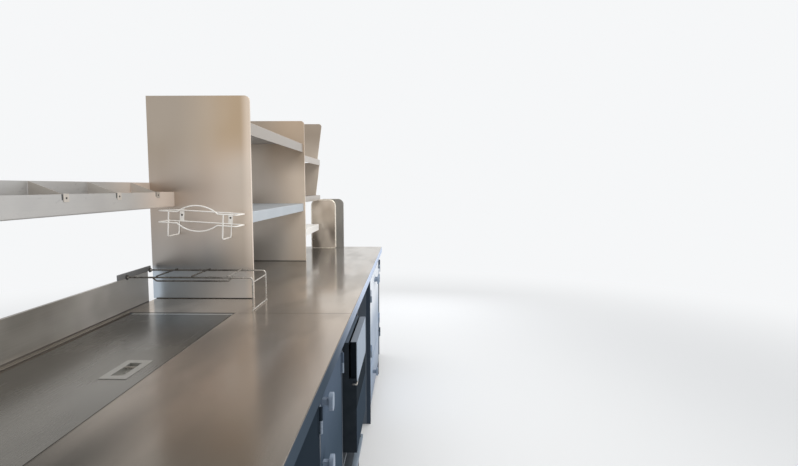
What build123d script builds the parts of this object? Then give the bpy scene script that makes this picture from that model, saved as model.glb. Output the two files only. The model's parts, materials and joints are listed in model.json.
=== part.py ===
from build123d import *
import os

# Galley counter for the left-hand side of a food truck.
# X runs along the counter, the front faces -Y, the wall side is +Y and Z is up.
# The origin is on the floor under the middle of the counter. All sizes are millimetres.

# Overall sizes
counter_length = 3700.0
counter_depth = 920.0
worktop_height = 910.0

# Sheet, panels and general gaps
sheet = 1.5
panel_wall = 20.0
back_wall = 10.0
door_wall = 22.0
reveal = 6.0
seat_gap = 0.5
pin_gap = 0.3
edge_cut = 2.0
cut_over = 1.0
round_sides = 10

# Widths of the spaces in the base and how far the worktop passes its ends
end_overhang = 10.0
cabinet_a_width = 700.0
cabinet_b_width = 460.0
bay_width = 590.0
cabinet_d_width = 817.0
cabinet_e_width = 453.0

# Worktop
lip_depth = 47.0
lip_return = 12.0
lip_gap = 2.0
fold_radius = 4.0

# Rear splash
splash_height = 130.0
splash_return = 10.0
splash_fold = 1.8
splash_wall_gap = 11.0
splash_stop = 62.0
flange_step = 4.0
flange_depth = 40.0

# Cabinet fronts, backs and plinths
door_recess = 23.0
flush_gap = 2.0
rail_depth = 25.0
plinth_setback = 40.0
plinth_foot = 60.0
fixing_end = 250.0
fixing_edge = 75.0
fixing_radius = 5.5
floor_height = 100.0
bay_deck_height = 200.0
back_drop = 50.0

# Flush lid over the cold well, its piano hinge and pull
lid_inset = 80.0
lid_length = 1280.0
lid_reach = 437.0
lid_thickness = 25.0
lid_groove = 8.0
rear_strip = 22.0
ledge_width = 24.0
well_depth = 250.0
well_corner = 30.0
drain_inset = 160.0
drain_radius = 19.0
drain_wall = 2.0
drain_length = 45.0
drain_pass_radius = 30.0
hinge_radius = 5.0
hinge_pin = 2.5
hinge_leaf_depth = 19.0
hinge_leaf_drop = 4.0
hinge_web = 1.0
hinge_knuckles = 15
pull_inset = 78.0
pull_length = 148.0
pull_width = 74.0
pull_corner = 4.0
pull_slot_length = 101.0
pull_slot_width = 33.0
pull_depth = 15.0
bail_radius = 3.0

# Door hinges and knob latches
door_hinge_height = 75.0
door_leaf_width = 16.0
door_hinge_inset = 90.0
door_pin_length = 22.0
latch_pad_width = 38.0
latch_pad_height = 50.0
latch_pad_corner = 14.0
latch_pad_thickness = 12.0
latch_stem = 18.0
latch_stem_length = 20.0
latch_inset = 30.0
latch_high = 60.0
latch_low = 245.0
latch_drawer_inset = 210.0
latch_drawer_drop = 100.0

# Drawer under cabinet D
drawer_split = 340.0
drawer_head = 26.0
drawer_box_depth = 500.0
drawer_side_gap = 22.0
runner_width = 35.0
runner_height = 30.0
runner_wall = 3.0

# Oven in the appliance bay
oven_near_gap = 100.0
oven_far_gap = 70.0
oven_proud = 22.0
oven_drop = 105.0
oven_door_height = 165.0
oven_door_wall = 25.0
oven_door_gap = 8.0
oven_shelf_height = 360.0
oven_shelf_wall = 15.0
oven_wall = 14.0
oven_back = 40.0
oven_ledge_drop = 12.0
oven_ear = 3.0
oven_ear_rise = 12.0
oven_axis_in = 12.0
oven_axis_rise = 8.0
oven_pin = 3.0
oven_pin_reach = 30.0
oven_corner = 22.0

# Tall panels and shelves above the worktop
wall_gap = 2.0
tall_depth = 450.0
tall_fold = 14.0
tall_corner = 20.0
panel_1_inset = 1640.0
panel_1_rise = 890.0
panel_2_inset = 860.0
panel_2_rise = 928.0
end_inset = 70.0
shelf_gap = 4.0
shelf_upstand = 25.0
shelf_short = 90.0
near_shelf_setback = 10.0
near_shelf_low_rise = 387.0
near_shelf_low_lip = 50.0
near_shelf_high_rise = 780.0
near_shelf_high_lip = 55.0
far_shelf_setback = 30.0
far_shelf_low_rise = 200.0
far_shelf_low_lip = 47.0
far_shelf_middle_rise = 430.0
far_shelf_middle_lip = 40.0
far_shelf_high_rise = 715.0
far_shelf_high_lip = 45.0
end_plate_slant = 40.0
end_plate_gap = 12.0
low_plate_rise = 690.0
low_plate_setback = 32.0
high_plate_rise = 1000.0
high_plate_setback = 12.0

# Bottle rail
bottle_inset = 420.0
bottle_width = 109.0
bottle_rise = 410.0
bottle_height = 65.0
bottle_rear_rise = 40.0
bottle_pitch = 293.0
bottle_first = 163.0
divider_gap = 3.0
divider_tab = 26.0
divider_cap = 8.0
divider_drop = 24.0
wall_screw_inset = 110.0
wall_screw_rise = 45.0
wall_screw_radius = 3.5

# Wire rack over the worktop
rack_gap = 40.0
rack_width = 190.0
rack_reach = 509.0
rack_rise = 134.0
rack_wire = 3.5
rack_bend = 14.0
cross_wire = 3.0
cross_pitch = 143.0
cross_first = 101.0
cross_count = 3
front_cross_drop = 19.0
foot_overhang = 12.0
stiffener_drop = 14.0
stiffener_start = 82.0
stiffener_length = 323.0
stiffener_slope = 16.0
weld = 1.0
bar_length = 261.0
bar_height = 22.0
bar_wall = 7.0
bar_stop = 30.0

# Wire holder on panel 1
holder_wire = 2.5
holder_end_gap = 32.0
holder_length = 330.0
holder_rise = 340.0
holder_height = 48.0
holder_bow = 30.0
holder_bow_width = 170.0
holder_bow_chords = 6
holder_bow_bend = 12.0
holder_bend = 10.0
holder_reach = 112.0
holder_drop = 58.0
holder_arm_in = 56.0
holder_arm_pitch = 231.0
holder_tab_in = 62.0
holder_tab_pitch = 215.0
holder_tilt = 3.5
tab_width = 20.0
tab_over = 3.0

# Splash guards at the far end
guard_foot = 2.0
guard_foot_reach = 20.0
guard_wall = 16.0
guard_corner = 45.0
near_guard_before = 20.0
near_guard_forward = 93.0
near_guard_width = 191.0
near_guard_rise = 390.0
far_guard_past = 24.0
far_guard_forward = 156.0
far_guard_width = 208.0
far_guard_rise = 398.0

# Places worked out from the sizes above
near_x = -counter_length / 2
far_x = counter_length / 2
front_y = -counter_depth / 2
wall_y = counter_depth / 2
splash_face_y = wall_y - splash_wall_gap
flange_y = splash_face_y - flange_step
recess_face_y = front_y + door_recess
flush_face_y = front_y + flush_gap
under_top = worktop_height - sheet
lip_low = worktop_height - lip_depth
door_top = lip_low - reveal
back_y = flange_y - back_wall
back_top = worktop_height - back_drop

# Near faces of the upright panels in the base
side_near_x = near_x + end_overhang
divider_ab_x = side_near_x + panel_wall + cabinet_a_width
divider_bay_x = divider_ab_x + panel_wall + cabinet_b_width
partition_x = divider_bay_x + panel_wall + bay_width
side_far_x = far_x - end_overhang - panel_wall
divider_de_x = side_far_x - cabinet_e_width - panel_wall
side_d_x = divider_de_x - cabinet_d_width - panel_wall

# Lid, hinge axis and well
lid_near_x = near_x + lid_inset
lid_far_x = lid_near_x + lid_length
lid_front_y = flange_y - lid_reach
strip_y = flange_y - rear_strip
hinge_y = strip_y - hinge_radius - pin_gap
hinge_z = worktop_height - hinge_radius
lid_rear_y = hinge_y - hinge_radius - lid_groove
lid_low = worktop_height - lid_thickness
ledge_z = lid_low - seat_gap
well_low = ledge_z - well_depth
well_front_y = lid_front_y - reveal - sheet

# Upper work
tall_rear_y = wall_y - wall_gap
tall_front_y = tall_rear_y - tall_depth
panel_1_x = near_x + panel_1_inset
panel_2_x = far_x - panel_2_inset
end_x = far_x - end_inset
shelf_rear_y = wall_y - shelf_gap

nodes = {}


def block(x0, x1, y0, y1, z0, z1):
    """A plate or bar between two opposite corners."""
    centre = Pos((x0 + x1) / 2, (y0 + y1) / 2, (z0 + z1) / 2)
    return centre * Box(x1 - x0, y1 - y0, z1 - z0)


def folded(points, x0, x1, wall, radius, side):
    """Sheet folded along a YZ line, between two X stations."""
    line = FilletPolyline(*points, radius=radius)
    outline = offset(line, amount=wall, side=side)
    face = make_face(outline.edges())
    return Pos(x0, 0, 0) * extrude(Plane.YZ * face, amount=x1 - x0)


def upright(points, x0, wall):
    """Flat panel cut to a YZ outline."""
    face = make_face(Polyline(*points, close=True))
    return Pos(x0, 0, 0) * extrude(Plane.YZ * face, amount=wall)


def cylinder_y(x, y0, y1, z, radius):
    """Round bar along Y."""
    return Pos(x, (y0 + y1) / 2, z) * Rot(90, 0, 0) * Cylinder(radius, y1 - y0)


def cylinder_z(x, y, z0, z1, radius):
    """Round bar along Z."""
    return Pos(x, y, (z0 + z1) / 2) * Cylinder(radius, z1 - z0)


def barrel_x(x0, x1, y, z, radius):
    """Hinge knuckle along X, many-sided because a hinge repeats it."""
    return Plane(origin=(x0, y, z), z_dir=(1, 0, 0)) * extrude(RegularPolygon(radius, round_sides), x1 - x0)


def barrel_z(x, y, z0, z1, radius):
    """Hinge knuckle along Z, many-sided because the doors repeat it."""
    return Pos(x, y, z0) * extrude(RegularPolygon(radius, round_sides), z1 - z0)


def wire(points, radius, bends=None):
    """Many-sided wire along a line, each bend turned in two straight chords."""
    corners = [Vector(*point) for point in points]
    if bends:
        corners = corners[:1]
        for edge in FilletPolyline(*points, radius=bends).edges():
            if edge.geom_type == GeomType.CIRCLE:
                corners.append(edge @ 0.5)
            corners.append(edge @ 1)
    line = Polyline(*corners)
    section = Plane(origin=line @ 0, z_dir=line % 0) * RegularPolygon(radius, round_sides)
    return sweep(section, path=line, transition=Transition.RIGHT)


# Upright panels by node: near face, front, whether it is notched under the cold well
uprights = {
    "end_sides": [(side_near_x, recess_face_y, False), (side_far_x, recess_face_y, False)],
    "bay_dividers": [(divider_ab_x, recess_face_y, True), (divider_bay_x, recess_face_y, True),
                     (partition_x, recess_face_y, False)],
    "pale_cabinet_sides": [(side_d_x, flush_face_y, False), (divider_de_x, flush_face_y, False)],
}
notch_y = well_front_y - reveal
lip_clear_y = front_y + lip_return + 2 * lip_gap
lip_clear_z = lip_low - lip_gap

for name, group in uprights.items():
    panels = []
    for x, face_y, notched in group:
        points = [(face_y, 0)]
        if face_y < recess_face_y:
            points += [(face_y, lip_clear_z), (lip_clear_y, lip_clear_z), (lip_clear_y, under_top)]
        else:
            points += [(face_y, under_top)]
        if notched:
            points += [(notch_y, under_top), (notch_y, well_low), (flange_y, well_low), (flange_y, 0)]
        else:
            points += [(flange_y, under_top), (flange_y, 0)]
        panels.append(upright(points, x, panel_wall))
    nodes[name] = Compound(panels)

# Clear spans between the uprights: near face, far face, door face, floor top
spans = {
    "a": (side_near_x + panel_wall, divider_ab_x, recess_face_y, floor_height),
    "b": (divider_ab_x + panel_wall, divider_bay_x, recess_face_y, floor_height),
    "bay": (divider_bay_x + panel_wall, partition_x, recess_face_y, bay_deck_height),
    "open": (partition_x + panel_wall, side_d_x, recess_face_y, 0.0),
    "d": (side_d_x + panel_wall, divider_de_x, flush_face_y, floor_height),
    "e": (divider_de_x + panel_wall, side_far_x, recess_face_y, floor_height),
}

floors, backs, rails, plinths = [], [], [], []
for name, (x0, x1, face_y, floor_z) in spans.items():
    inner_y = face_y + door_wall + reveal
    board_top = floor_z - panel_wall
    backs.append(block(x0, x1, back_y, flange_y, floor_z, back_top))
    rails.append(block(x0, x1, recess_face_y, recess_face_y + rail_depth, lip_low, under_top))
    if name == "open":
        continue
    if name != "bay":
        floors.append(block(x0, x1, inner_y, back_y, board_top, floor_z))
    plinth_y = face_y + plinth_setback
    board = block(x0, x1, plinth_y, plinth_y + sheet, 0, board_top)
    foot = block(x0, x1, plinth_y, plinth_y + plinth_foot, 0, sheet)
    rear_foot = block(x0, x1, back_y - plinth_foot, back_y, 0, sheet)
    rear_board = block(x0, x1, back_y - sheet, back_y, 0, board_top)
    plinths += [board + foot, rear_board + rear_foot]

deck_x0, deck_x1, deck_face_y, deck_z = spans["bay"]
nodes["bay_deck"] = block(deck_x0, deck_x1, deck_face_y, back_y, deck_z - panel_wall, deck_z)
nodes["sill_bar"] = block(deck_x0, deck_x1, front_y, deck_face_y, deck_z - panel_wall, deck_z)

# Floor fixings, one hole near each corner of the base
for x in (near_x + fixing_end, far_x - fixing_end):
    for y in (front_y + fixing_edge, wall_y - fixing_edge):
        hole = cylinder_z(x, y, -cut_over, sheet + cut_over, fixing_radius)
        plinths = [foot - hole for foot in plinths]

# Worktop with a folded front lip and end lips
worktop_line = [(front_y + lip_return, lip_low), (front_y, lip_low), (front_y, worktop_height),
                (flange_y, worktop_height)]
worktop = folded(worktop_line, near_x, far_x, sheet, fold_radius, Side.RIGHT)
for x0 in (near_x, far_x - sheet):
    worktop += block(x0, x0 + sheet, front_y + fold_radius, flange_y, lip_low, worktop_height)
worktop -= block(lid_near_x - reveal, lid_far_x + reveal, lid_front_y - reveal, strip_y,
                 under_top - cut_over, worktop_height + cut_over)
nodes["worktop"] = worktop

# Rear splash in runs between the tall panels
splash_top = worktop_height + splash_height
splash_line = [(splash_face_y + splash_return, splash_top), (splash_face_y, splash_top),
               (splash_face_y, worktop_height), (flange_y, worktop_height),
               (flange_y, worktop_height - flange_depth)]
splash_runs = [(near_x, panel_1_x - splash_stop), (panel_1_x + tall_fold, panel_2_x),
               (panel_2_x + tall_fold, far_x)]
nodes["rear_splash"] = Compound([folded(splash_line, x0, x1, sheet, splash_fold, Side.LEFT)
                                 for x0, x1 in splash_runs])

# Cold well: hung rim, ledge for the lid and a tub with a drain
rim_x0 = lid_near_x - reveal
rim_x1 = lid_far_x + reveal
tub_x0 = rim_x0 + ledge_width
tub_x1 = rim_x1 - ledge_width
tub_y0 = lid_front_y - reveal + ledge_width
tub_y1 = lid_rear_y - ledge_width
tub_length = tub_x1 - tub_x0
tub_width = tub_y1 - tub_y0
tub_centre = Pos((tub_x0 + tub_x1) / 2, (tub_y0 + tub_y1) / 2, 0)
well = block(rim_x0 - sheet, rim_x1 + sheet, well_front_y, strip_y + sheet, ledge_z - sheet, under_top)
well -= block(rim_x0, rim_x1, well_front_y + sheet, strip_y, ledge_z, under_top + cut_over)
outer_face = RectangleRounded(tub_length + 2 * sheet, tub_width + 2 * sheet, well_corner)
inner_face = RectangleRounded(tub_length, tub_width, well_corner - sheet)
well += tub_centre * Pos(0, 0, well_low) * extrude(outer_face, amount=well_depth)
well -= tub_centre * Pos(0, 0, well_low + sheet) * extrude(inner_face, amount=well_depth)
drain_x = tub_x0 + drain_inset
drain_y = (tub_y0 + tub_y1) / 2
drain_low = well_low - drain_length
well += cylinder_z(drain_x, drain_y, drain_low, well_low + sheet, drain_radius + drain_wall)
well -= cylinder_z(drain_x, drain_y, drain_low - cut_over, well_low + sheet + cut_over, drain_radius)
nodes["well_tub"] = well

# The waste pipe passes through the floor under the drain
drain_pass = cylinder_z(drain_x, drain_y, -cut_over, floor_height + cut_over, drain_pass_radius)
floors = [board - drain_pass for board in floors]
nodes["cabinet_floors"] = Compound(floors)
nodes["back_panels"] = Compound(backs)
nodes["front_rails"] = Compound(rails)
nodes["plinths"] = Compound(plinths)


def knuckle_runs(length, count, odd):
    """Start and end of every second knuckle of a hinge."""
    pitch = length / count
    first = 1 if odd else 0
    return [(i * pitch + pin_gap / 2, (i + 1) * pitch - pin_gap / 2) for i in range(first, count, 2)]


# Piano hinge: the fixed half carries the pin, the lid half turns on it
hinge_length = lid_length - 2 * reveal
hinge_x0 = lid_near_x + reveal
hinge_x1 = hinge_x0 + hinge_length
leaf_in = hinge_radius + pin_gap - sheet
leaf_low = hinge_z - hinge_leaf_depth
leaf_top = hinge_z - hinge_leaf_drop
fixed_half = block(hinge_x0, hinge_x1, hinge_y + leaf_in, strip_y, leaf_low, leaf_top)
for x0, x1 in knuckle_runs(hinge_length, hinge_knuckles, False):
    fixed_half += barrel_x(hinge_x0 + x0, hinge_x0 + x1, hinge_y, hinge_z, hinge_radius)
    fixed_half += block(hinge_x0 + x0, hinge_x0 + x1, hinge_y + leaf_in - hinge_web, strip_y,
                        leaf_top - hinge_web, hinge_z)
fixed_half += barrel_x(hinge_x0, hinge_x1, hinge_y, hinge_z, hinge_pin)
nodes["lid_hinge"] = fixed_half

lid_half = block(hinge_x0, hinge_x1, lid_rear_y, lid_rear_y + sheet, leaf_low, leaf_top)
lid_half += block(hinge_x0, hinge_x1, lid_rear_y, hinge_y - leaf_in, leaf_top - sheet, leaf_top)
for x0, x1 in knuckle_runs(hinge_length, hinge_knuckles, True):
    lid_half += barrel_x(hinge_x0 + x0, hinge_x0 + x1, hinge_y, hinge_z, hinge_radius)
    lid_half += block(hinge_x0 + x0, hinge_x0 + x1, hinge_y - leaf_in - sheet,
                      hinge_y - leaf_in + hinge_web, leaf_top - sheet, hinge_z)
lid_half -= barrel_x(hinge_x0 - cut_over, hinge_x1 + cut_over, hinge_y, hinge_z, hinge_pin + pin_gap)
nodes["lid_leaf"] = lid_half

# Flush lid with its pull let into it
pull_x = (lid_near_x + lid_far_x) / 2
pull_y = lid_front_y + pull_inset
cup_length = pull_slot_length + 2 * sheet
cup_width = pull_slot_width + 2 * sheet
cup_low = worktop_height - pull_depth - sheet
lid = block(lid_near_x, lid_far_x, lid_front_y, lid_rear_y, lid_low, worktop_height)
lid = chamfer(lid.edges().filter_by(Axis.Z), edge_cut)
lid -= block(pull_x - cup_length / 2, pull_x + cup_length / 2, pull_y - cup_width / 2,
             pull_y + cup_width / 2, cup_low, worktop_height + cut_over)
nodes["lid"] = lid
pull = Pos(pull_x, pull_y, worktop_height) * extrude(
    RectangleRounded(pull_length, pull_width, pull_corner), amount=sheet)
pull += block(pull_x - cup_length / 2, pull_x + cup_length / 2, pull_y - cup_width / 2,
              pull_y + cup_width / 2, cup_low, worktop_height)
pull -= block(pull_x - pull_slot_length / 2, pull_x + pull_slot_length / 2,
              pull_y - pull_slot_width / 2, pull_y + pull_slot_width / 2,
              cup_low + sheet, worktop_height + sheet + cut_over)
nodes["lid_pull"] = pull
bail_x = pull_x + pull_slot_length / 4
bail_z = worktop_height - bail_radius
nodes["lid_bail"] = wire([(bail_x, pull_y - pull_slot_width / 2, bail_z),
                          (bail_x, pull_y + pull_slot_width / 2, bail_z)], bail_radius)

# Doors: clear span, door face, low edge, side that carries the hinges, latch drops from the top
middle_d = (spans["d"][0] + spans["d"][1]) / 2
low_edge = floor_height + reveal
split_edge = drawer_split + reveal
doors = {
    "a": (spans["a"][0], spans["a"][1], recess_face_y, low_edge, "far", (latch_high, latch_low)),
    "b": (spans["b"][0], spans["b"][1], recess_face_y, low_edge, "far", (latch_high, latch_low)),
    "d1": (spans["d"][0], middle_d + reveal / 2, flush_face_y, split_edge, "near", (latch_high,)),
    "d2": (middle_d - reveal / 2, spans["d"][1], flush_face_y, split_edge, "far", (latch_high,)),
    "e": (spans["e"][0], spans["e"][1], recess_face_y, low_edge, "far", (latch_high,)),
}


def door_hinge(x, face_y, z, turn):
    """Fixed and moving half of a lift-off hinge; turn is +1 where the door lies towards +X."""
    y = face_y - hinge_radius
    low = z - door_hinge_height / 2
    high = z + door_hinge_height / 2
    out = hinge_radius + pin_gap

    def strip(x0, x1, z0, z1):
        return block(min(x0, x1), max(x0, x1), face_y - sheet, face_y, z0, z1)

    fixed = strip(x - turn * out, x - turn * (out + door_leaf_width), low, high)
    fixed += strip(x, x - turn * (out + hinge_web), low, z - pin_gap)
    fixed += barrel_z(x, y, low, z - pin_gap, hinge_radius)
    fixed += barrel_z(x, y, low, z + door_pin_length, hinge_pin)
    moving = strip(x + turn * out, x + turn * (out + door_leaf_width), low, high)
    moving += strip(x, x + turn * (out + hinge_web), z, high)
    moving += barrel_z(x, y, z, high, hinge_radius)
    moving -= barrel_z(x, y, z - cut_over, z + door_pin_length + cut_over, hinge_pin + pin_gap)
    return fixed, moving


def knob_latch(x, face_y, z):
    """Rounded pad on a short square stem that turns the catch behind the door."""
    half = latch_stem / 2
    stem = block(x - half, x + half, face_y - latch_stem_length, face_y, z - half, z + half)
    pad_face = RectangleRounded(latch_pad_width, latch_pad_height, latch_pad_corner)
    pad = Pos(x, face_y - latch_stem_length, z) * Rot(90, 0, 0) * extrude(pad_face, latch_pad_thickness)
    return stem + pad


fixed_halves = []
for name, (x0, x1, face_y, low, side, latch_drops) in doors.items():
    turn = 1 if side == "near" else -1
    slab = block(x0 + reveal, x1 - reveal, face_y, face_y + door_wall, low, door_top)
    slab = chamfer(slab.edges().filter_by(Axis.Z), edge_cut)
    pin_x = x0 + reveal / 2 if side == "near" else x1 - reveal / 2
    for z in (low + door_hinge_inset, door_top - door_hinge_inset):
        fixed, moving = door_hinge(pin_x, face_y, z, turn)
        fixed_halves.append(fixed)
        slab += moving
    nodes["door_" + name] = slab
    free_x = x1 - reveal if side == "near" else x0 + reveal
    latch_x = free_x - turn * latch_inset
    nodes["latch_" + name] = Compound([knob_latch(latch_x, face_y, door_top - drop) for drop in latch_drops])
nodes["door_hinges"] = Compound(fixed_halves)

# Drawer under the doors of cabinet D, with its runners and the deck over it
d_x0, d_x1 = spans["d"][0], spans["d"][1]
front_inner_y = flush_face_y + door_wall
drawer_low = floor_height + reveal + runner_wall + runner_height / 2
drawer_top = drawer_split - panel_wall - drawer_head
drawer_front = block(d_x0 + reveal, d_x1 - reveal, flush_face_y, front_inner_y, low_edge,
                     drawer_split - reveal)
nodes["drawer_front"] = chamfer(drawer_front.edges().filter_by(Axis.Z), edge_cut)
box_x0, box_x1 = d_x0 + drawer_side_gap, d_x1 - drawer_side_gap
box_y1 = front_inner_y + drawer_box_depth
drawer_box = block(box_x0, box_x1, front_inner_y, box_y1, drawer_low, drawer_top)
drawer_box -= block(box_x0 + sheet, box_x1 - sheet, front_inner_y + sheet, box_y1 - sheet,
                    drawer_low + sheet, drawer_top + cut_over)
nodes["drawer_box"] = drawer_box
nodes["latch_drawer"] = knob_latch(d_x0 + latch_drawer_inset, flush_face_y, drawer_split - latch_drawer_drop)
runner_y0 = front_inner_y + reveal
runner_z = drawer_low - pin_gap
runners = []
for wall_x, turn in ((d_x0, 1), (d_x1, -1)):
    edge_x = wall_x + turn * runner_width
    flat = block(min(wall_x, edge_x), max(wall_x, edge_x), runner_y0, box_y1,
                 runner_z - runner_wall, runner_z)
    web_x = wall_x + turn * runner_wall
    web = block(min(wall_x, web_x), max(wall_x, web_x), runner_y0, box_y1,
                runner_z - runner_wall, runner_z + runner_height)
    runners.append(flat + web)
nodes["drawer_runners"] = Compound(runners)
nodes["drawer_deck"] = block(d_x0, d_x1, front_inner_y + reveal, back_y,
                             drawer_split - panel_wall, drawer_split)

# Oven on its shelf in the appliance bay
oven_near_x = deck_x0 + oven_near_gap
oven_far_x = deck_x1 - oven_far_gap
oven_front_y = front_y - oven_proud
oven_rear_y = well_front_y - reveal
oven_top = worktop_height - oven_drop
oven_deck = oven_top - oven_door_height
oven_inner_y = oven_front_y + oven_door_wall + oven_door_gap
ledge_top = oven_deck - oven_ledge_drop
lower_face_y = oven_front_y + flush_gap
nodes["oven_shelf"] = block(deck_x0, deck_x1, recess_face_y, back_y,
                            oven_shelf_height - oven_shelf_wall, oven_shelf_height)
oven_points = [(lower_face_y, oven_shelf_height), (lower_face_y, ledge_top), (oven_inner_y, ledge_top),
               (oven_inner_y, oven_top), (oven_rear_y, oven_top), (oven_rear_y, oven_shelf_height)]
oven = upright(oven_points, oven_near_x, oven_far_x - oven_near_x)
oven -= block(oven_near_x + oven_wall, oven_far_x - oven_wall, oven_inner_y - cut_over,
              oven_rear_y - oven_back, oven_deck + oven_wall, oven_top - oven_wall)
oven_axis_y = oven_front_y + oven_axis_in
oven_axis_z = oven_deck + oven_axis_rise
for x0 in (oven_near_x, oven_far_x - oven_ear):
    ear = block(x0, x0 + oven_ear, lower_face_y, oven_inner_y, ledge_top, oven_axis_z + oven_ear_rise)
    ear -= barrel_x(x0 - cut_over, x0 + oven_ear + cut_over, oven_axis_y, oven_axis_z, oven_pin + pin_gap)
    oven += ear
nodes["oven_body"] = oven
oven_door_x0 = oven_near_x + oven_ear + reveal
oven_door_x1 = oven_far_x - oven_ear - reveal
door_face = Pos((oven_door_x0 + oven_door_x1) / 2, oven_front_y, (oven_deck + oven_top) / 2)
door_profile = Rectangle(oven_door_x1 - oven_door_x0, oven_door_height)
door_profile = fillet(door_profile.vertices().sort_by(Axis.Y)[:2], oven_corner)
oven_door = door_face * Rot(90, 0, 0) * extrude(door_profile, amount=-oven_door_wall)
for x0, x1 in ((oven_near_x, oven_door_x0 + oven_pin_reach), (oven_door_x1 - oven_pin_reach, oven_far_x)):
    oven_door += barrel_x(x0, x1, oven_axis_y, oven_axis_z, oven_pin)
nodes["oven_door"] = oven_door


def tall_panel(x, low, top, y_low, y_top):
    """Panel folded from sheet: a return all round, a rounded top front corner, front edge at any slant."""
    def outline(inset):
        face = make_face(Polyline((y_low + inset, low + inset), (tall_rear_y - inset, low + inset),
                                  (tall_rear_y - inset, top - inset), (y_top + inset, top - inset),
                                  close=True))
        corner = face.vertices().sort_by(Axis.X)[:2].sort_by(Axis.Y)[-1]
        return Plane.YZ * fillet(corner, tall_corner - inset)
    pan = extrude(outline(0), amount=tall_fold)
    pan -= Pos(sheet, 0, 0) * extrude(outline(sheet), amount=tall_fold)
    return Pos(x, 0, 0) * pan


nodes["panel_1"] = tall_panel(panel_1_x, worktop_height, worktop_height + panel_1_rise,
                              tall_front_y, tall_front_y)
nodes["panel_2"] = tall_panel(panel_2_x, worktop_height, worktop_height + panel_2_rise,
                              tall_front_y, tall_front_y)

# Shelves by node: near end, setback from the panels, then far end, rise above the worktop and lip depth
shelves = {
    "near_shelves": (panel_1_x + tall_fold, near_shelf_setback, [
        (panel_2_x, near_shelf_low_rise, near_shelf_low_lip),
        (panel_2_x, near_shelf_high_rise, near_shelf_high_lip)]),
    "far_shelves": (panel_2_x + tall_fold, far_shelf_setback, [
        (end_x - shelf_short, far_shelf_low_rise, far_shelf_low_lip),
        (end_x, far_shelf_middle_rise, far_shelf_middle_lip),
        (end_x, far_shelf_high_rise, far_shelf_high_lip)]),
}
for name, (x0, setback, group) in shelves.items():
    sheets = []
    y0 = tall_front_y + setback
    for x1, rise, lip in group:
        top = worktop_height + rise
        line = [(y0, top - lip), (y0, top), (shelf_rear_y, top), (shelf_rear_y, top + shelf_upstand)]
        sheets.append(folded(line, x0, x1, sheet, fold_radius, Side.RIGHT))
    nodes[name] = Compound(sheets)

# End plates beyond the far shelves, the low one from its shelf's lip: foot, top, setback of the top corner
end_plates = [
    (far_shelf_middle_rise - far_shelf_middle_lip, low_plate_rise, low_plate_setback),
    (low_plate_rise + end_plate_gap, high_plate_rise, high_plate_setback)]
nodes["end_plates"] = Compound([
    tall_panel(end_x, worktop_height + foot, worktop_height + top, tall_front_y + setback + end_plate_slant,
               tall_front_y + setback)
    for foot, top, setback in end_plates])

# Bottle rail along the wall, carried by panel 1
bottle_near_x = near_x + bottle_inset
bottle_front_y = tall_rear_y - bottle_width
bottle_low = worktop_height + bottle_rise
bottle_top = bottle_low + bottle_height
rail_line = [(tall_rear_y, bottle_top + bottle_rear_rise), (tall_rear_y, bottle_low),
             (bottle_front_y, bottle_low), (bottle_front_y, bottle_top)]
rail = folded(rail_line, bottle_near_x, panel_1_x, sheet, fold_radius, Side.RIGHT)
for x0 in (bottle_near_x, panel_1_x - sheet):
    rail += block(x0, x0 + sheet, bottle_front_y + cut_over, tall_rear_y - cut_over,
                  bottle_low + cut_over, bottle_top)
for x in (bottle_near_x + wall_screw_inset, panel_1_x - wall_screw_inset):
    rail -= cylinder_y(x, tall_rear_y - 2 * sheet, tall_rear_y + 2 * sheet,
                       bottle_low + wall_screw_rise, wall_screw_radius)
nodes["bottle_rail"] = rail


def rail_divider(x):
    """Wedge plate across the rail with a tab hooked over the front lip."""
    inner_y0 = bottle_front_y + sheet
    inner_y1 = tall_rear_y - sheet
    cap_top = bottle_top + sheet
    plate = upright([(inner_y0 + divider_gap, bottle_low + reveal), (inner_y0 + divider_gap, cap_top),
                     (inner_y1 - divider_gap, bottle_top + bottle_rear_rise),
                     (inner_y1 - divider_gap, bottle_low + reveal)], x, sheet)
    cap = block(x, x + divider_tab, bottle_front_y - sheet, inner_y0 + divider_cap, bottle_top, cap_top)
    drop = block(x, x + divider_tab, bottle_front_y - sheet, bottle_front_y,
                 bottle_top - divider_drop, cap_top)
    return plate + cap + drop


divider_xs = []
x = panel_1_x - bottle_first
while x > bottle_near_x + bottle_pitch / 2:
    divider_xs.append(x)
    x -= bottle_pitch
nodes["rail_dividers"] = Compound([rail_divider(x) for x in divider_xs])

# Wire rack: flat bar on top of the splash, two long wires with legs, cross wires, foot rod and stiffener
rack_far_x = panel_1_x - rack_gap
rack_near_x = rack_far_x - rack_width
rack_rear_y = tall_rear_y - bar_wall
rack_front_y = rack_rear_y - rack_reach
rack_height = worktop_height + rack_rise
foot_z = worktop_height + rack_wire
bar_far_x = panel_1_x - bar_stop
nodes["rack_bar"] = block(bar_far_x - bar_length, bar_far_x, rack_rear_y, tall_rear_y, splash_top,
                          splash_top + bar_height)
rack = None
for x in (rack_near_x, rack_far_x):
    long_wire = wire([(x, rack_rear_y, rack_height), (x, rack_front_y, rack_height),
                      (x, rack_front_y, foot_z)], rack_wire, rack_bend)
    rack = long_wire if rack is None else rack + long_wire
rack += wire([(rack_near_x - foot_overhang, rack_front_y, foot_z),
              (rack_far_x + foot_overhang, rack_front_y, foot_z)], rack_wire)
cross_z = rack_height + rack_wire + cross_wire - weld
for i in range(cross_count):
    y = rack_front_y + cross_first + i * cross_pitch
    rack += wire([(rack_near_x - rack_wire, y, cross_z), (rack_far_x + rack_wire, y, cross_z)], cross_wire)
front_cross_z = rack_height - front_cross_drop
rack += wire([(rack_near_x, rack_front_y, front_cross_z), (rack_far_x, rack_front_y, front_cross_z)],
             cross_wire)
stiffener_z = rack_height - stiffener_drop
stiffener_y0 = rack_front_y + stiffener_start
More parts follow.
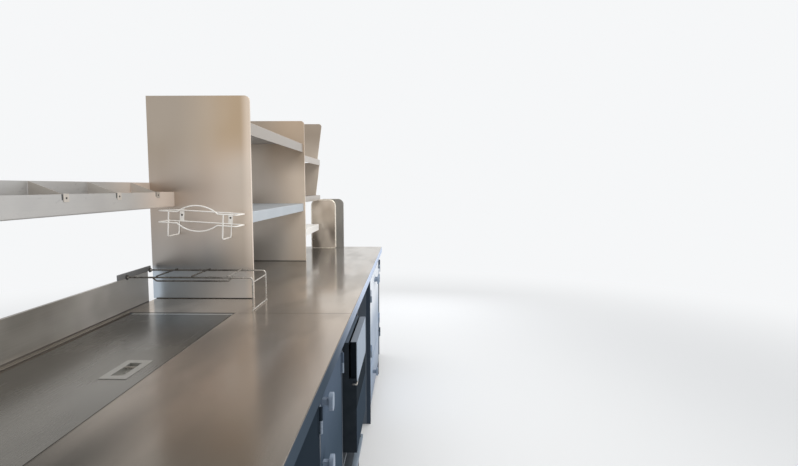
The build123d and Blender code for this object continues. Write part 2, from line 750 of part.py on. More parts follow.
stiffener_y1 = stiffener_y0 + stiffener_length
rack += wire([(rack_near_x, stiffener_y1, rack_height),
              (rack_near_x, stiffener_y1 - stiffener_slope, stiffener_z),
              (rack_near_x, stiffener_y0 + stiffener_slope, stiffener_z),
              (rack_near_x, stiffener_y0, rack_height)], cross_wire)
nodes["wire_rack"] = rack

# Wire holder on panel 1: two levels, each a straight rear rail and a bowed front rail, two arms and two tabs
holder_y0 = tall_front_y + holder_end_gap
holder_y1 = holder_y0 + holder_length
holder_low = worktop_height + holder_rise
holder_high = holder_low + holder_height
back_x = panel_1_x - sheet - holder_wire + weld
out_x = panel_1_x - holder_reach
arm_low = holder_low - holder_drop
middle_y = (holder_y0 + holder_y1) / 2


def front_rail(z, bow):
    """Rail that comes out from the panel, bows up or down in its middle and goes back."""
    half = holder_bow_width / 2
    arc = ThreePointArc((out_x, middle_y - half, z), (out_x, middle_y, z + bow), (out_x, middle_y + half, z))
    bowed = [tuple(arc @ (i / holder_bow_chords)) for i in range(holder_bow_chords + 1)]
    points = [(back_x, holder_y0, z), (out_x, holder_y0, z), *bowed, (out_x, holder_y1, z),
              (back_x, holder_y1, z)]
    bends = [holder_bend, holder_bow_bend] + [0.0] * (holder_bow_chords - 1) + [holder_bow_bend, holder_bend]
    return wire(points, holder_wire, bends)


holder = None
for y in (holder_y0 + holder_tab_in, holder_y0 + holder_tab_in + holder_tab_pitch):
    tab = block(panel_1_x - sheet, panel_1_x, y - tab_width / 2, y + tab_width / 2,
                holder_low - tab_over, holder_high + tab_over)
    holder = tab if holder is None else holder + tab
for z, bow in ((holder_high, holder_bow), (holder_low, -holder_bow)):
    holder += wire([(back_x, holder_y0 - holder_wire, z), (back_x, holder_y1 + holder_wire, z)], holder_wire)
    holder += front_rail(z, bow)
for y in (holder_y0 + holder_arm_in, holder_y0 + holder_arm_in + holder_arm_pitch):
    holder += wire([(out_x, y, holder_high), (out_x, y, arm_low), (back_x, y, arm_low),
                    (back_x, y, holder_low)], holder_wire, holder_bend)
tilt_axis = Axis((panel_1_x, middle_y, (holder_low + holder_high) / 2), (1, 0, 0))
nodes["wire_holder"] = holder.rotate(tilt_axis, holder_tilt)


def guard(x, y0, width, rise):
    """Upright splash guard with rounded top corners on a small foot."""
    base = worktop_height + guard_foot
    top = worktop_height + rise
    y1 = y0 + width
    face = make_face(Polyline((y0, base), (y1, base), (y1, top), (y0, top), close=True))
    corners = face.vertices().sort_by(Axis.Y)[-2:]
    plate = extrude(Plane.YZ * fillet(corners, guard_corner), amount=guard_wall)
    foot = block(0, guard_wall + guard_foot_reach, y0, y1, worktop_height, base)
    return Pos(x, 0, 0) * (plate + foot)


# Splash guards: near face past the shelf ends, front edge ahead of the panels, width, rise
guards = [
    (-near_guard_before, near_guard_forward, near_guard_width, near_guard_rise),
    (far_guard_past, far_guard_forward, far_guard_width, far_guard_rise)]
nodes["splash_guards"] = Compound([
    guard(end_x + past, tall_front_y - forward, width, rise) for past, forward, width, rise in guards])

os.makedirs("parts", exist_ok=True)
for name, shape in nodes.items():
    export_step(shape, "parts/" + name + ".step")
print(len(nodes), "nodes")
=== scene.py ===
# %% [markdown]
# # Dressing a stainless galley counter
# The counter already exists as exact solids. This lesson gives them brushed steel, paint, enamel and coated
# wire, adds the small pieces that a solid model leaves out, and lights the result plainly. Everything is in
# metres, X runs along the counter, the cabinet fronts face -Y and the rear is at +Y.

# %% Load the solids
import bmesh
import bpy
import json
import math
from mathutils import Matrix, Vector

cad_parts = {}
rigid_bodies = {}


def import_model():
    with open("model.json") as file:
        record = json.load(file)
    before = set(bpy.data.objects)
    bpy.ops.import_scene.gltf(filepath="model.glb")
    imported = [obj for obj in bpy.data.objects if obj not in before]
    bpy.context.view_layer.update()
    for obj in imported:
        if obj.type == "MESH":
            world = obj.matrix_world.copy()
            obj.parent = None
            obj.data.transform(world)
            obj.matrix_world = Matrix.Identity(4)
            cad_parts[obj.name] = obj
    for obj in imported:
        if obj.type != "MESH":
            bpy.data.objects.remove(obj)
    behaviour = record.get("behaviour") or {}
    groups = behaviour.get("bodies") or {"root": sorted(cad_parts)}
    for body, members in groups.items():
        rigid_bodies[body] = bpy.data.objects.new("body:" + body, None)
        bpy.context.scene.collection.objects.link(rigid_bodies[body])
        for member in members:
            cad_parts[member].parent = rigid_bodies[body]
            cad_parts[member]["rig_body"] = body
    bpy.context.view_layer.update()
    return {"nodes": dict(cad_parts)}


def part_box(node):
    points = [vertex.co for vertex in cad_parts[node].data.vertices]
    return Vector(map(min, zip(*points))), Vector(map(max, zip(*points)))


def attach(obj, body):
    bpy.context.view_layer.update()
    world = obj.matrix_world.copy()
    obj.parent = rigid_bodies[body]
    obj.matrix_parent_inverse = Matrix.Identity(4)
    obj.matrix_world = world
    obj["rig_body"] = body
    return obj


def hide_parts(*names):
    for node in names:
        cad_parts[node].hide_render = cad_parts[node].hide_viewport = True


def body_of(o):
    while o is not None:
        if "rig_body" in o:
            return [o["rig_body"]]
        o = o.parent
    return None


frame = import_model()
nodes = frame["nodes"]
mm = 0.001
print(len(nodes), "solid nodes loaded")

# %% [markdown]
# ## Places the dressing hangs on
# A piece sits well only when its place comes from the solid that carries it. Each place below is read from
# a node's box, so that the dressing follows the solids when they change.

# %% Places read from the solids
worktop_low, worktop_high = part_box("worktop")
lid_low, lid_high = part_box("lid")
rack_low, rack_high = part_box("wire_rack")
guards_low, guards_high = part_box("splash_guards")
oven_low, oven_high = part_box("oven_body")
oven_door_low, oven_door_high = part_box("oven_door")
sill_low, sill_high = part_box("sill_bar")
panel_1_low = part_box("panel_1")[0]
panel_2_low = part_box("panel_2")[0]
splash_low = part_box("rear_splash")[0]
bar_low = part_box("rack_bar")[0]
rail_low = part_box("bottle_rail")[0]
upright_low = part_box("end_sides")[0]
hinge_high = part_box("lid_hinge")[1]
deck_top = worktop_high.z
print("worktop top at", round(deck_top, 3), "m")

# %% [markdown]
# ## Shader sums written as Python
# A material is a graph of small steps. Wiring each step by hand hides the idea, so one class wraps a socket
# and lets ordinary arithmetic add the Math nodes, and one method adds any other node. Two kinds of mask do
# most of the work: one that rises between two places and one that falls between them.


# %% A node in any tree
def add_node(tree, kind, settings, sockets, output=0):
    """Add a node, set it, link the sockets that are given sockets and fill the others."""
    made = tree.nodes.new(kind)
    for key, value in settings.items():
        setattr(made, key, value)
    for key, value in sockets.items():
        if isinstance(value, bpy.types.NodeSocket):
            tree.links.new(value, made.inputs[key])
        else:
            made.inputs[key].default_value = value
    return made.outputs[output]


print("node helper ready")


# %% A socket that can be added and multiplied
class Value:
    """A shader socket used like a number."""

    def __init__(self, finish, socket):
        self.finish = finish
        self.socket = socket

    def sum_of(self, operation, first, second):
        return self.finish.node("ShaderNodeMath", {"operation": operation}, {0: first, 1: second})

    def __add__(self, other):
        return self.sum_of("ADD", self, other)

    def __radd__(self, other):
        return self.sum_of("ADD", other, self)

    def __sub__(self, other):
        return self.sum_of("SUBTRACT", self, other)

    def __rsub__(self, other):
        return self.sum_of("SUBTRACT", other, self)

    def __mul__(self, other):
        return self.sum_of("MULTIPLY", self, other)

    def __rmul__(self, other):
        return self.sum_of("MULTIPLY", other, self)


print("sums ready")


# %% A finish and the one method that adds its nodes
class Finish:
    """A material under construction."""

    def __init__(self, name, metallic, rough):
        self.material = bpy.data.materials.new(name)
        self.material.use_nodes = True
        self.tree = self.material.node_tree
        self.shader = self.tree.nodes["Principled BSDF"]
        self.shader.inputs["Metallic"].default_value = metallic
        self.shader.inputs["Roughness"].default_value = rough
        self.place = self.node("ShaderNodeTexCoord", {}, {}, "Object")

    def node(self, kind, settings, sockets, output=0):
        plain = {key: value.socket if isinstance(value, Value) else value for key, value in sockets.items()}
        return Value(self, add_node(self.tree, kind, settings, plain, output))

    def feed(self, socket, value):
        self.tree.links.new(value.socket, self.shader.inputs[socket])

    def coloured(self, value):
        """The finished material, with its colour fed last."""
        self.feed("Base Color", value)
        return self.material

    def rim(self, shine, tint):
        """How much a dull coat shines, and how dark bare metal turns when seen along its face."""
        self.shader.inputs["Specular IOR Level"].default_value = shine
        self.shader.inputs["Specular Tint"].default_value = tone(*tint)

    def along(self, axis):
        """The place on one axis, in metres."""
        return self.node("ShaderNodeSeparateXYZ", {}, {0: self.place}, axis)

    def rise(self):
        """The height above the worktop, in metres."""
        return self.along("Z") - deck_top

    def noise(self, scale, stretch, detail):
        """Noise that can be stretched into brush lines, kept between 0 and 1."""
        spread = self.node("ShaderNodeMapping", {}, {"Vector": self.place, "Scale": stretch})
        return self.node("ShaderNodeTexNoise", {}, {"Vector": spread, "Scale": scale, "Detail": detail})

    def grain(self, axis):
        """Brush lines that run along one axis, long on it and fine across it."""
        return self.noise(1.0, tuple(3.0 if letter == axis else 420.0 for letter in "XYZ"), 3.0)

    def ramp(self, value, low, high):
        """A smooth mask, 0 below the first value and 1 above the second."""
        return self.node("ShaderNodeMapRange", {"interpolation_type": "SMOOTHSTEP"},
                         {"Value": value, "From Min": low, "From Max": high})

    def fall(self, value, low, high):
        """The opposite mask, 1 below the first value and 0 above the second."""
        return 1.0 - self.ramp(value, low, high)

    def band(self, value, low, high, soft):
        """A mask that is 1 between two values and fades out over a soft edge beyond each."""
        return self.ramp(value, low - soft, low) * self.fall(value, high, high + soft)

    def mix(self, mask, first, second):
        """A colour between two others."""
        return self.node("ShaderNodeMix", {"data_type": "RGBA"}, {0: mask, 6: first, 7: second}, 2)

    def bump(self, height, distance, strength):
        return self.node("ShaderNodeBump", {}, {"Height": height, "Distance": distance, "Strength": strength})


def tone(red, green, blue):
    return (red, green, blue, 1.0)


cool_rim = (0.3, 0.33, 0.38)
print("shader helpers ready")

# %% [markdown]
# ## Brushed stainless steel
# The sheet is ground in one direction, so it has fine lines along that direction, wide soft smudges from
# wiping, and a few stray scratches. A picture of steel could be laid on it, but noise has no seam and suits
# a sheet of any size. Stretched over a hundredfold along the grain, it gives the lines. The smudges change
# the colour and the roughness together, as on a wiped worktop. A tall sheet seen along its face would show
# that change as wood grain, so an even sheet keeps one roughness.


# %% Steel with a grain, smudges and scratches
def brushed_steel(name, dark, light, grain, rough, metallic=0.9, shine=0.5, tint=(1, 1, 1), even=False):
    """Sheet steel whose lines run along one axis. An even sheet has them in its colour alone."""
    finish = Finish(name, metallic, rough)
    finish.rim(shine, tint)
    lines = finish.grain(grain)
    smudge = finish.ramp(finish.noise(3.5, (1, 1, 1), 3.0), 0.35, 0.68)
    cross = tuple(260.0 if axis == grain else 9.0 for axis in "XYZ")
    scratch = finish.ramp(finish.noise(1.0, cross, 4.0), 0.70, 0.74)
    base = finish.mix(0.25 + 0.5 * smudge, dark, light)
    wear_and_painted_light = finish.mix(0.16 * scratch + 0.10 * lines, base, tone(0.9, 0.88, 0.85))
    finish.feed("Base Color", wear_and_painted_light)
    if not even:
        finish.feed("Roughness", rough - 0.06 + 0.12 * lines + 0.08 * smudge)
        finish.feed("Normal", finish.bump(lines, 0.15 * mm, 0.35))
    return finish, wear_and_painted_light


def plain_steel(name, dark, light, **looks):
    """A small piece of sheet whose lines run along the counter."""
    return brushed_steel(name, dark, light, "X", **looks)[0].material


print("brushed steel ready")

# %% [markdown]
# ## The worktop and its lid
# One long sheet mirrors something else in each stretch: it looks dark beside the lid, warm in the middle and
# bright towards the far end. Broad masks paint these reflections, and the second panel's shade, into its
# colour.
# Narrow ones draw the seam across the sheet and paint shade on the folded front edge, a shadow line in the
# groove behind the hinge and a highlight on the strip there, all too fine to be worth solids.


# %% Worktop steel
def worktop_steel():
    """The worktop: painted reflections, olive by the lid, tan along its front, pale beyond; soft wiping
    marks.
    """
    finish, base = brushed_steel("worktop_steel", tone(0.15, 0.14, 0.125), tone(0.22, 0.205, 0.185), "X",
                                 rough=0.20, shine=0.0, tint=(0.78, 0.77, 0.75))
    across, depth = finish.along("X"), finish.along("Y")
    from_end, from_front = across - worktop_low.x, depth - worktop_low.y

    # Painted reflections: dark beside the lid, warm in the middle and between, pale beyond; painted shade by
    # the panel.
    nearest = finish.fall(from_end, 0.10, 0.60)
    middle = finish.ramp(from_end, -0.05, 0.85)
    beyond = finish.ramp(from_end, 1.10, 2.05)
    between = finish.ramp(from_end, 0.90, 1.25) * finish.fall(from_end, 1.85, 2.35)
    by_lid = finish.ramp(from_front, 0.26, 0.42)
    by_panel = beyond * finish.ramp(from_front, 0.24, 0.46)
    wear_and_painted_light = finish.mix(0.80 * middle, base, tone(0.66, 0.585, 0.525))
    wear_and_painted_light = finish.mix(0.75 * by_lid * nearest, wear_and_painted_light, tone(0.065, 0.065, 0.062))
    wear_and_painted_light = finish.mix(0.8 * beyond, wear_and_painted_light, tone(0.80, 0.79, 0.78))
    wear_and_painted_light = finish.mix(0.75 * by_panel, wear_and_painted_light, tone(0.24, 0.23, 0.215))
    wear_and_painted_light = finish.mix(0.40 * between, wear_and_painted_light, tone(0.86, 0.74, 0.63))

    streaks = finish.ramp(finish.noise(1.0, (1.1, 9.0, 1.0), 3.0), 0.5, 0.72)
    clouds = finish.ramp(finish.noise(1.0, (2.2, 6.0, 1.0), 2.0), 0.42, 0.66)
    wear_and_painted_light = finish.mix(0.30 * streaks * middle, wear_and_painted_light, tone(0.62, 0.53, 0.46))
    wear_and_painted_light = finish.mix(0.35 * clouds, wear_and_painted_light, tone(0.24, 0.225, 0.205))

    # Painted shade along the folded front edge, weaker towards the far end.
    fold_shade = finish.fall(from_front, 2.6 * mm, 4.5 * mm)
    wear_and_painted_light = finish.mix(0.75 * fold_shade * (1.0 - 0.6 * beyond), wear_and_painted_light, tone(0.11, 0.105, 0.10))

    # Along the lid, a painted highlight on the strip behind the hinge and a painted shadow line in the groove
    # by the splash.
    lid_run = finish.band(across, lid_low.x - 6 * mm, lid_high.x + 6 * mm, 1 * mm)
    strip = finish.ramp(depth, hinge_high.y - 0.5 * mm, hinge_high.y + 0.5 * mm) * lid_run
    groove_shadow = finish.band(depth, splash_low.y - 12 * mm, splash_low.y - 10 * mm, 0.5 * mm) * lid_run
    wear_and_painted_light = finish.mix(0.7 * strip, wear_and_painted_light, tone(0.52, 0.49, 0.44))
    wear_and_painted_light = finish.mix(0.8 * groove_shadow, wear_and_painted_light, tone(0.06, 0.05, 0.04))

    cut_front = lid_low.y - 8 * mm
    before_lid = finish.fall(depth, cut_front - 20 * mm, cut_front)
    beside_lid = (finish.ramp(depth, cut_front, cut_front + 2 * mm)
                  * finish.fall(depth, hinge_high.y, hinge_high.y + 1 * mm))
    shadow = finish.band(across, lid_high.x + 6.2 * mm, lid_high.x + 15.5 * mm, 0.7 * mm)
    seam = finish.band(across, lid_high.x + 6 * mm, lid_high.x + 12 * mm, 1 * mm)
    wear_and_painted_light = finish.mix(0.8 * shadow * beside_lid, wear_and_painted_light, tone(0.03, 0.03, 0.03))
    sheet = finish.mix(0.5 * seam * before_lid, wear_and_painted_light, tone(0.08, 0.07, 0.06))

    front = finish.fall(from_front, 0.5 * mm, 1.5 * mm)
    # The lip is painted dark in shade near the lid's end and bright with a painted reflection towards the far
    # end.
    lip = finish.mix(finish.ramp(from_end, 0.65, 2.15), tone(0.060, 0.080, 0.105), tone(0.60, 0.68, 0.84))
    finish.feed("Metallic", 0.9 - 0.9 * front)
    finish.feed("Roughness", 0.19 + 0.07 * clouds - 0.08 * beyond)
    return finish.coloured(finish.mix(front, sheet, lip))


print("worktop steel ready")


# %% Lid steel
def lid_steel():
    """The lid: olive grey, duller than the worktop around it, with painted shade and highlight at its far
    edge.
    """
    finish, base = brushed_steel("lid_steel", tone(0.12, 0.117, 0.105), tone(0.18, 0.175, 0.16), "X",
                                 rough=0.22)
    across = finish.along("X")
    from_end = across - lid_low.x
    clouds = finish.ramp(finish.noise(1.0, (2.0, 5.0, 1.0), 3.0), 0.40, 0.70)
    # A painted reflection warms the middle of the lid.
    warm_reflection = finish.ramp(from_end, 0.07, 0.57) * finish.fall(from_end, 0.67, 1.17)
    # Along the far edge, a painted shade line and a painted highlight.
    far_edge_highlight = finish.ramp(across, lid_high.x - 22.5 * mm, lid_high.x - 21 * mm)
    far_shade_line = finish.ramp(across, lid_high.x - 32 * mm, lid_high.x - 30.5 * mm) * (1.0 - far_edge_highlight)
    wear_and_painted_light = finish.mix(0.45 * clouds, base, tone(0.10, 0.097, 0.09))
    wear_and_painted_light = finish.mix(0.5 * warm_reflection, wear_and_painted_light, tone(0.22, 0.21, 0.19))
    wear_and_painted_light = finish.mix(0.6 * far_shade_line, wear_and_painted_light, tone(0.04, 0.045, 0.05))
    return finish.coloured(finish.mix(0.6 * far_edge_highlight, wear_and_painted_light, tone(0.85, 0.84, 0.82)))


print("lid steel ready")

# %% [markdown]
# ## The steel that stands on the worktop
# The splash, rail, panels, shelves and guards are the same sheet, but each stands in another light, painted
# into its colour. The panels turn cool near the worktop and warm above it, and a painted highlight brightens
# their front edges. Each has its own short function, so that one tone can be changed without the others.


# %% Splash and rail
def splash_steel():
    """The rear splash: grey, with soft bright patches of painted reflection and a dark line at its foot."""
    finish, base = brushed_steel("splash_steel", tone(0.14, 0.13, 0.112), tone(0.23, 0.22, 0.20), "X",
                                 rough=0.3, metallic=0.5)
    from_end, rise = finish.along("X") - worktop_low.x, finish.rise()
    clouds = finish.ramp(finish.noise(1.0, (4.0, 1.0, 5.0), 2.0), 0.34, 0.74)
    nearer = finish.fall(from_end, 0.19, 0.55)
    farther = finish.ramp(from_end, 0.85, 1.45)
    low = finish.fall(rise, 45 * mm, 90 * mm)
    foot = finish.fall(rise, 2.5 * mm, 4.5 * mm)
    wear_and_painted_light = finish.mix(0.30 * clouds, base, tone(0.46, 0.43, 0.39))
    # The bright patches, towards the far end and low near the near end, are painted reflections.
    wear_and_painted_light = finish.mix(0.40 * farther * clouds + 0.30 * farther, wear_and_painted_light, tone(0.78, 0.77, 0.76))
    wear_and_painted_light = finish.mix(0.5 * nearer * low * clouds, wear_and_painted_light, tone(0.72, 0.68, 0.62))
    return finish.coloured(finish.mix(0.85 * foot, wear_and_painted_light, tone(0.05, 0.042, 0.035)))


def rail_steel():
    """The bottle rail's front: grey with small dark marks, and a pinker, paler painted reflection by the
    first panel.
    """
    finish, base = brushed_steel("rail_steel", tone(0.36, 0.355, 0.35), tone(0.50, 0.495, 0.48), "X",
                                 rough=0.38, metallic=0.4)
    spots = finish.ramp(finish.noise(1.0, (34.0, 1.0, 70.0), 4.0), 0.66, 0.74)
    cloud = finish.noise(1.0, (4.0, 1.0, 9.0), 2.0)
    # A pinker, paler painted reflection beside the first panel.
    panel_reflection = finish.ramp(finish.along("X"), panel_1_low.x - 0.41, panel_1_low.x - 0.07)
    wear_and_painted_light = finish.mix(0.35 * cloud, base, tone(0.62, 0.62, 0.62))
    wear_and_painted_light = finish.mix(0.30 * spots, wear_and_painted_light, tone(0.24, 0.24, 0.25))
    return finish.coloured(finish.mix(0.9 * panel_reflection, wear_and_painted_light, tone(0.86, 0.75, 0.66)))


print("splash and rail steel ready")


# %% Tall panels
def panel_steel(name, tones, front_y, metallic):
    """A tall panel in painted light: cool near the worktop, warm above, shaded at the rear, bright at the
    front edge.
    """
    finish, base = brushed_steel(name, tone(0.26, 0.25, 0.24), tone(0.34, 0.32, 0.30), "Z",
                                 rough=0.31, metallic=metallic, even=True)
    low_tone, middle_tone, high_tone, front_tone = tones
    rise, from_front = finish.rise(), finish.along("Y") - front_y
    # Painted reflections: cool near the worktop, warm above.
    uneven = rise + 0.24 * finish.noise(1.0, (2.0, 2.6, 2.0), 1.0)
    shade = finish.mix(finish.ramp(uneven, 0.22, 0.56), low_tone, middle_tone)
    shade = finish.mix(finish.ramp(uneven, 0.58, 0.89), shade, high_tone)
    body = finish.mix(0.88, base, shade)
    # Painted shade towards the rear.
    rear = finish.ramp(from_front, 0.08, 0.34)
    body = finish.mix(0.55 * rear, body, tone(0.22, 0.20, 0.18))
    # A painted highlight on the front edge.
    front = finish.fall(from_front, 0.03, 0.22) * finish.fall(rise, 0.55, 0.69)
    body = finish.mix(0.85 * front, body, front_tone)
    clouds = finish.ramp(finish.noise(1.0, (3.0, 4.0, 2.4), 1.5), 0.30, 0.72)
    wear_and_painted_light = finish.mix(0.16 * clouds, body, tone(0.80, 0.77, 0.73))
    finish.feed("Metallic", metallic - 0.35 * metallic * front)
    return finish, wear_and_painted_light, rise, from_front


def panel_1_steel():
    """The first panel: painted light makes it pale and bluish below the wire rack and bright along its front
    edge.
    """
    tones = (tone(0.24, 0.26, 0.28), tone(0.64, 0.51, 0.41), tone(0.50, 0.37, 0.24), tone(0.62, 0.53, 0.44))
    finish, body, rise, from_front = panel_steel("panel_1_steel", tones, panel_1_low.y, 0.9)
    # Painted light below the rack, and a painted highlight on the front edge.
    pale = finish.mix(finish.ramp(from_front, 0.1, 0.4), tone(0.62, 0.60, 0.58), tone(0.52, 0.60, 0.68))
    foot = finish.fall(rise, 0.11, 0.16)
    edge = finish.fall(from_front, 4 * mm, 45 * mm)
    body = finish.mix(0.85 * foot, body, pale)
    return finish.coloured(finish.mix(0.6 * edge, body, tone(0.88, 0.76, 0.65)))


def panel_2_steel():
    """The second panel: brown in the shelves' painted shade and pale in painted light along its front."""
    tones = (tone(0.66, 0.60, 0.53), tone(0.60, 0.49, 0.39), tone(0.52, 0.39, 0.27), tone(0.84, 0.70, 0.56))
    finish, body = panel_steel("panel_2_steel", tones, panel_2_low.y, 0.45)[:2]
    return finish.coloured(body)


print("panel steel ready")


# %% Shelves, end plates, guards and uprights
def shelf_steel():
    """The near shelves: painted reflections make the high one tan like the panels, the low one cooler."""
    finish, base = brushed_steel("shelf_steel", tone(0.42, 0.46, 0.50), tone(0.54, 0.58, 0.62), "X",
                                 rough=0.36, metallic=0.4, shine=0.1, tint=(0.72, 0.76, 0.80))
    high = finish.ramp(finish.rise(), 0.49, 0.69)
    return finish.coloured(finish.mix(0.8 * high, base, tone(0.36, 0.31, 0.26)))


def far_shelf_steel():
    """The far shelves: tan steel, the lowest one almost white."""
    finish, base = brushed_steel("far_shelf_steel", tone(0.36, 0.33, 0.30), tone(0.50, 0.46, 0.42), "X",
                                 rough=0.36, metallic=0.6)
    low = finish.fall(finish.rise(), 0.24, 0.29)
    finish.feed("Metallic", 0.6 - 0.6 * low)
    return finish.coloured(finish.mix(0.9 * low, base, tone(0.95, 0.94, 0.92)))


def end_plate_steel():
    """The end plates: brown-grey, darker towards the top in painted shade."""
    finish, base = brushed_steel("end_plate_steel", tone(0.52, 0.45, 0.38), tone(0.70, 0.61, 0.51), "Z",
                                 rough=0.36, metallic=0.25, shine=0.2)
    # Painted shade towards the top.
    upper = finish.ramp(finish.rise(), 0.69, 0.93)
    return finish.coloured(finish.mix(0.75 * upper, base, tone(0.27, 0.215, 0.165)))


def guard_steel():
    """The splash guards: brown polished steel with bright cloudy painted reflections, the far one dark and
    even.
    """
    finish = Finish("guard_steel", metallic=0.6, rough=0.26)
    # Painted cloudy reflections over painted shade low down.
    patch = finish.ramp(finish.noise(1.0, (3.0, 9.0, 6.0), 1.0), 0.36, 0.66)
    upper = finish.ramp(finish.rise(), 0.11, 0.25)
    brown = finish.mix(upper, tone(0.28, 0.245, 0.21), tone(0.60, 0.53, 0.45))
    cloudy = finish.mix(0.75 * patch, brown, tone(0.92, 0.84, 0.74))
    second = finish.ramp(finish.along("X"), guards_low.x + 25 * mm, guards_low.x + 35 * mm)
    return finish.coloured(finish.mix(0.92 * second, cloudy, tone(0.32, 0.32, 0.31)))


def carcass_steel():
    """The uprights of the base: dark blue-grey steel, nearly black along their narrow front edges."""
    finish, base = brushed_steel("carcass_steel", tone(0.050, 0.068, 0.095), tone(0.11, 0.14, 0.18), "Z",
                                 rough=0.4, metallic=0.3, shine=0.1, tint=cool_rim)
    edge = finish.fall(finish.along("Y"), upright_low.y + 1 * mm, upright_low.y + 3 * mm)
    finish.feed("Metallic", 0.3 - 0.3 * edge)
    return finish.coloured(finish.mix(0.85 * edge, base, tone(0.030, 0.044, 0.066)))


print("shelf, plate, guard and upright steel ready")

# %% [markdown]
# ## Paint, plating and coatings
# The fronts under the worktop are painted sheet: even in colour, with a faint orange peel that shows only
# in the highlights, and a little grime towards the floor. Coated and plated wire get their own short
# finishes, because their highlights are so different.


# %% Painted sheet
def paint_coat(name, rough, metallic=0.0, shine=0.0):
    """A coat with its orange peel and uneven gloss, and the patches that its colour follows."""
    finish = Finish(name, metallic, rough)
    finish.rim(shine, cool_rim)
    peel = finish.noise(240.0, (1, 1, 1), 1.0)
    patch = finish.noise(5.0, (1, 1, 2), 3.0)
    finish.feed("Roughness", rough + 0.12 * patch)
    finish.feed("Normal", finish.bump(peel, 0.1 * mm, 0.25))
    return finish, patch


def painted(name, colour, grime, rough, metallic=0.0, shine=0.0):
    """Sheet of one colour, grimy towards the floor."""
    finish, patch = paint_coat(name, rough, metallic, shine)
    dirt = finish.fall(finish.along("Z"), 0.05, 0.45) * finish.ramp(patch, 0.4, 0.7)
    return finish.coloured(finish.mix(0.12 * patch + 0.5 * dirt, colour, grime))


def door_grey():
    """The grey doors: slate blue in painted shade, paler towards the top where the aisle's light falls."""
    finish, patch = paint_coat("door_grey", rough=0.28, metallic=0.08)
    upper = finish.ramp(finish.along("Z"), 0.50, 0.86)
    paint = finish.mix(upper, tone(0.060, 0.086, 0.118), tone(0.105, 0.138, 0.190))
    return finish.coloured(finish.mix(0.10 * patch, paint, tone(0.04, 0.045, 0.05)))


def pale_front():
    """The pale cabinet's fronts in painted light and shade: nearly white at the top, bluer and darker towards
    the floor.
    """
    finish, patch = paint_coat("pale_front", rough=0.28, shine=0.05)
    height = finish.along("Z")
    paint = finish.mix(finish.ramp(height, 0.50, 0.72), tone(0.31, 0.39, 0.51), tone(0.78, 0.82, 0.88))
    paint = finish.mix(finish.fall(height, 0.10, 0.34), paint, tone(0.22, 0.28, 0.38))
    return finish.coloured(finish.mix(0.10 * patch, paint, tone(0.26, 0.28, 0.30)))


print("paint ready")


# %% Wire finishes
def wire_finish(name, colour, spot, rough, metallic=0.5):
    """Plain wire or a bolt head, with small dull spots."""
    finish = Finish(name, metallic, rough)
    spots = finish.ramp(finish.noise(160.0, (1, 1, 1), 2.0), 0.55, 0.7)
    finish.feed("Roughness", rough + 0.2 * spots)
    return finish.coloured(finish.mix(0.4 * spots, colour, spot))


def rack_plating():
    """The rack's plating: dark with painted shade and greasy spots at the rear, bright with painted light at
    the front.
    """
    finish = Finish("plated_wire", metallic=0.9, rough=0.26)
    grease = finish.ramp(finish.noise(45.0, (1, 1, 1), 3.0), 0.46, 0.62)
    # Painted shade at the rear, painted light at the front.
    front = finish.fall(finish.along("Y") - rack_low.y, 16.5 * mm, 181.5 * mm)
    rear = finish.mix(0.6 * grease, tone(0.17, 0.165, 0.155), tone(0.035, 0.032, 0.028))
    finish.feed("Roughness", 0.24 + 0.25 * grease)
    return finish.coloured(finish.mix(front, rear, tone(0.50, 0.48, 0.45)))


print("wire finishes ready")

# %% [markdown]
# ## The oven's finish
# One solid stands for the oven's body. Its lower front is bare steel, and the band above it and its sides
# are black enamel. A mask on height and on the front face parts the two, with no extra geometry.


# %% Oven body and door
def oven_finish():
    """The oven's body: black enamel with a bare steel lower front and a grey top."""
    finish = Finish("oven_body", metallic=0.1, rough=0.4)
    finish.rim(0.0, (0.2, 0.22, 0.25))
    speck = finish.noise(30.0, (1, 1, 1), 4.0)
    lines = finish.grain("X")
    black = finish.mix(speck, tone(0.020, 0.026, 0.033), tone(0.038, 0.047, 0.056))
    steel = finish.mix(lines, tone(0.034, 0.050, 0.070), tone(0.062, 0.084, 0.112))
    height = finish.along("Z")
    bare_top = oven_low.z + 180 * mm
    front = finish.fall(finish.along("Y"), oven_low.y + 0.5 * mm, oven_low.y + 1.5 * mm)
    bare = front * finish.fall(height, bare_top - 2 * mm, bare_top + 2 * mm)
    top = finish.ramp(height, oven_high.z - 1.5 * mm, oven_high.z - 0.5 * mm)
    lower = finish.mix(bare, black, steel)
    finish.feed("Metallic", 0.05 + 0.12 * bare)
    finish.feed("Roughness", 0.32 + 0.1 * speck)
    finish.feed("Normal", finish.bump(speck, 0.2 * mm, 0.2))
    return finish.coloured(finish.mix(top, lower, tone(0.125, 0.155, 0.20)))


def oven_door_finish():
    """The oven's door: a brushed front and top over a black frame."""
    finish = Finish("oven_door_steel", metallic=0.15, rough=0.3)
    finish.rim(0.0, cool_rim)
    lines = finish.grain("X")
    patch = finish.noise(6.0, (1, 1, 1), 3.0)
    steel = finish.mix(0.5 * lines + 0.5 * patch, tone(0.32, 0.38, 0.46), tone(0.50, 0.56, 0.64))
    front = finish.fall(finish.along("Y"), oven_door_low.y + 1.5 * mm, oven_door_low.y + 3.5 * mm)
    top = finish.ramp(finish.along("Z"), oven_door_high.z - 1.5 * mm, oven_door_high.z - 0.5 * mm)
    faced = finish.mix(front, tone(0.010, 0.013, 0.017), steel)
    finish.feed("Roughness", 0.24 + 0.14 * lines)
    finish.feed("Normal", finish.bump(lines, 0.15 * mm, 0.3))
    return finish.coloured(finish.mix(top, faced, tone(0.235, 0.265, 0.31)))


print("oven finishes ready")

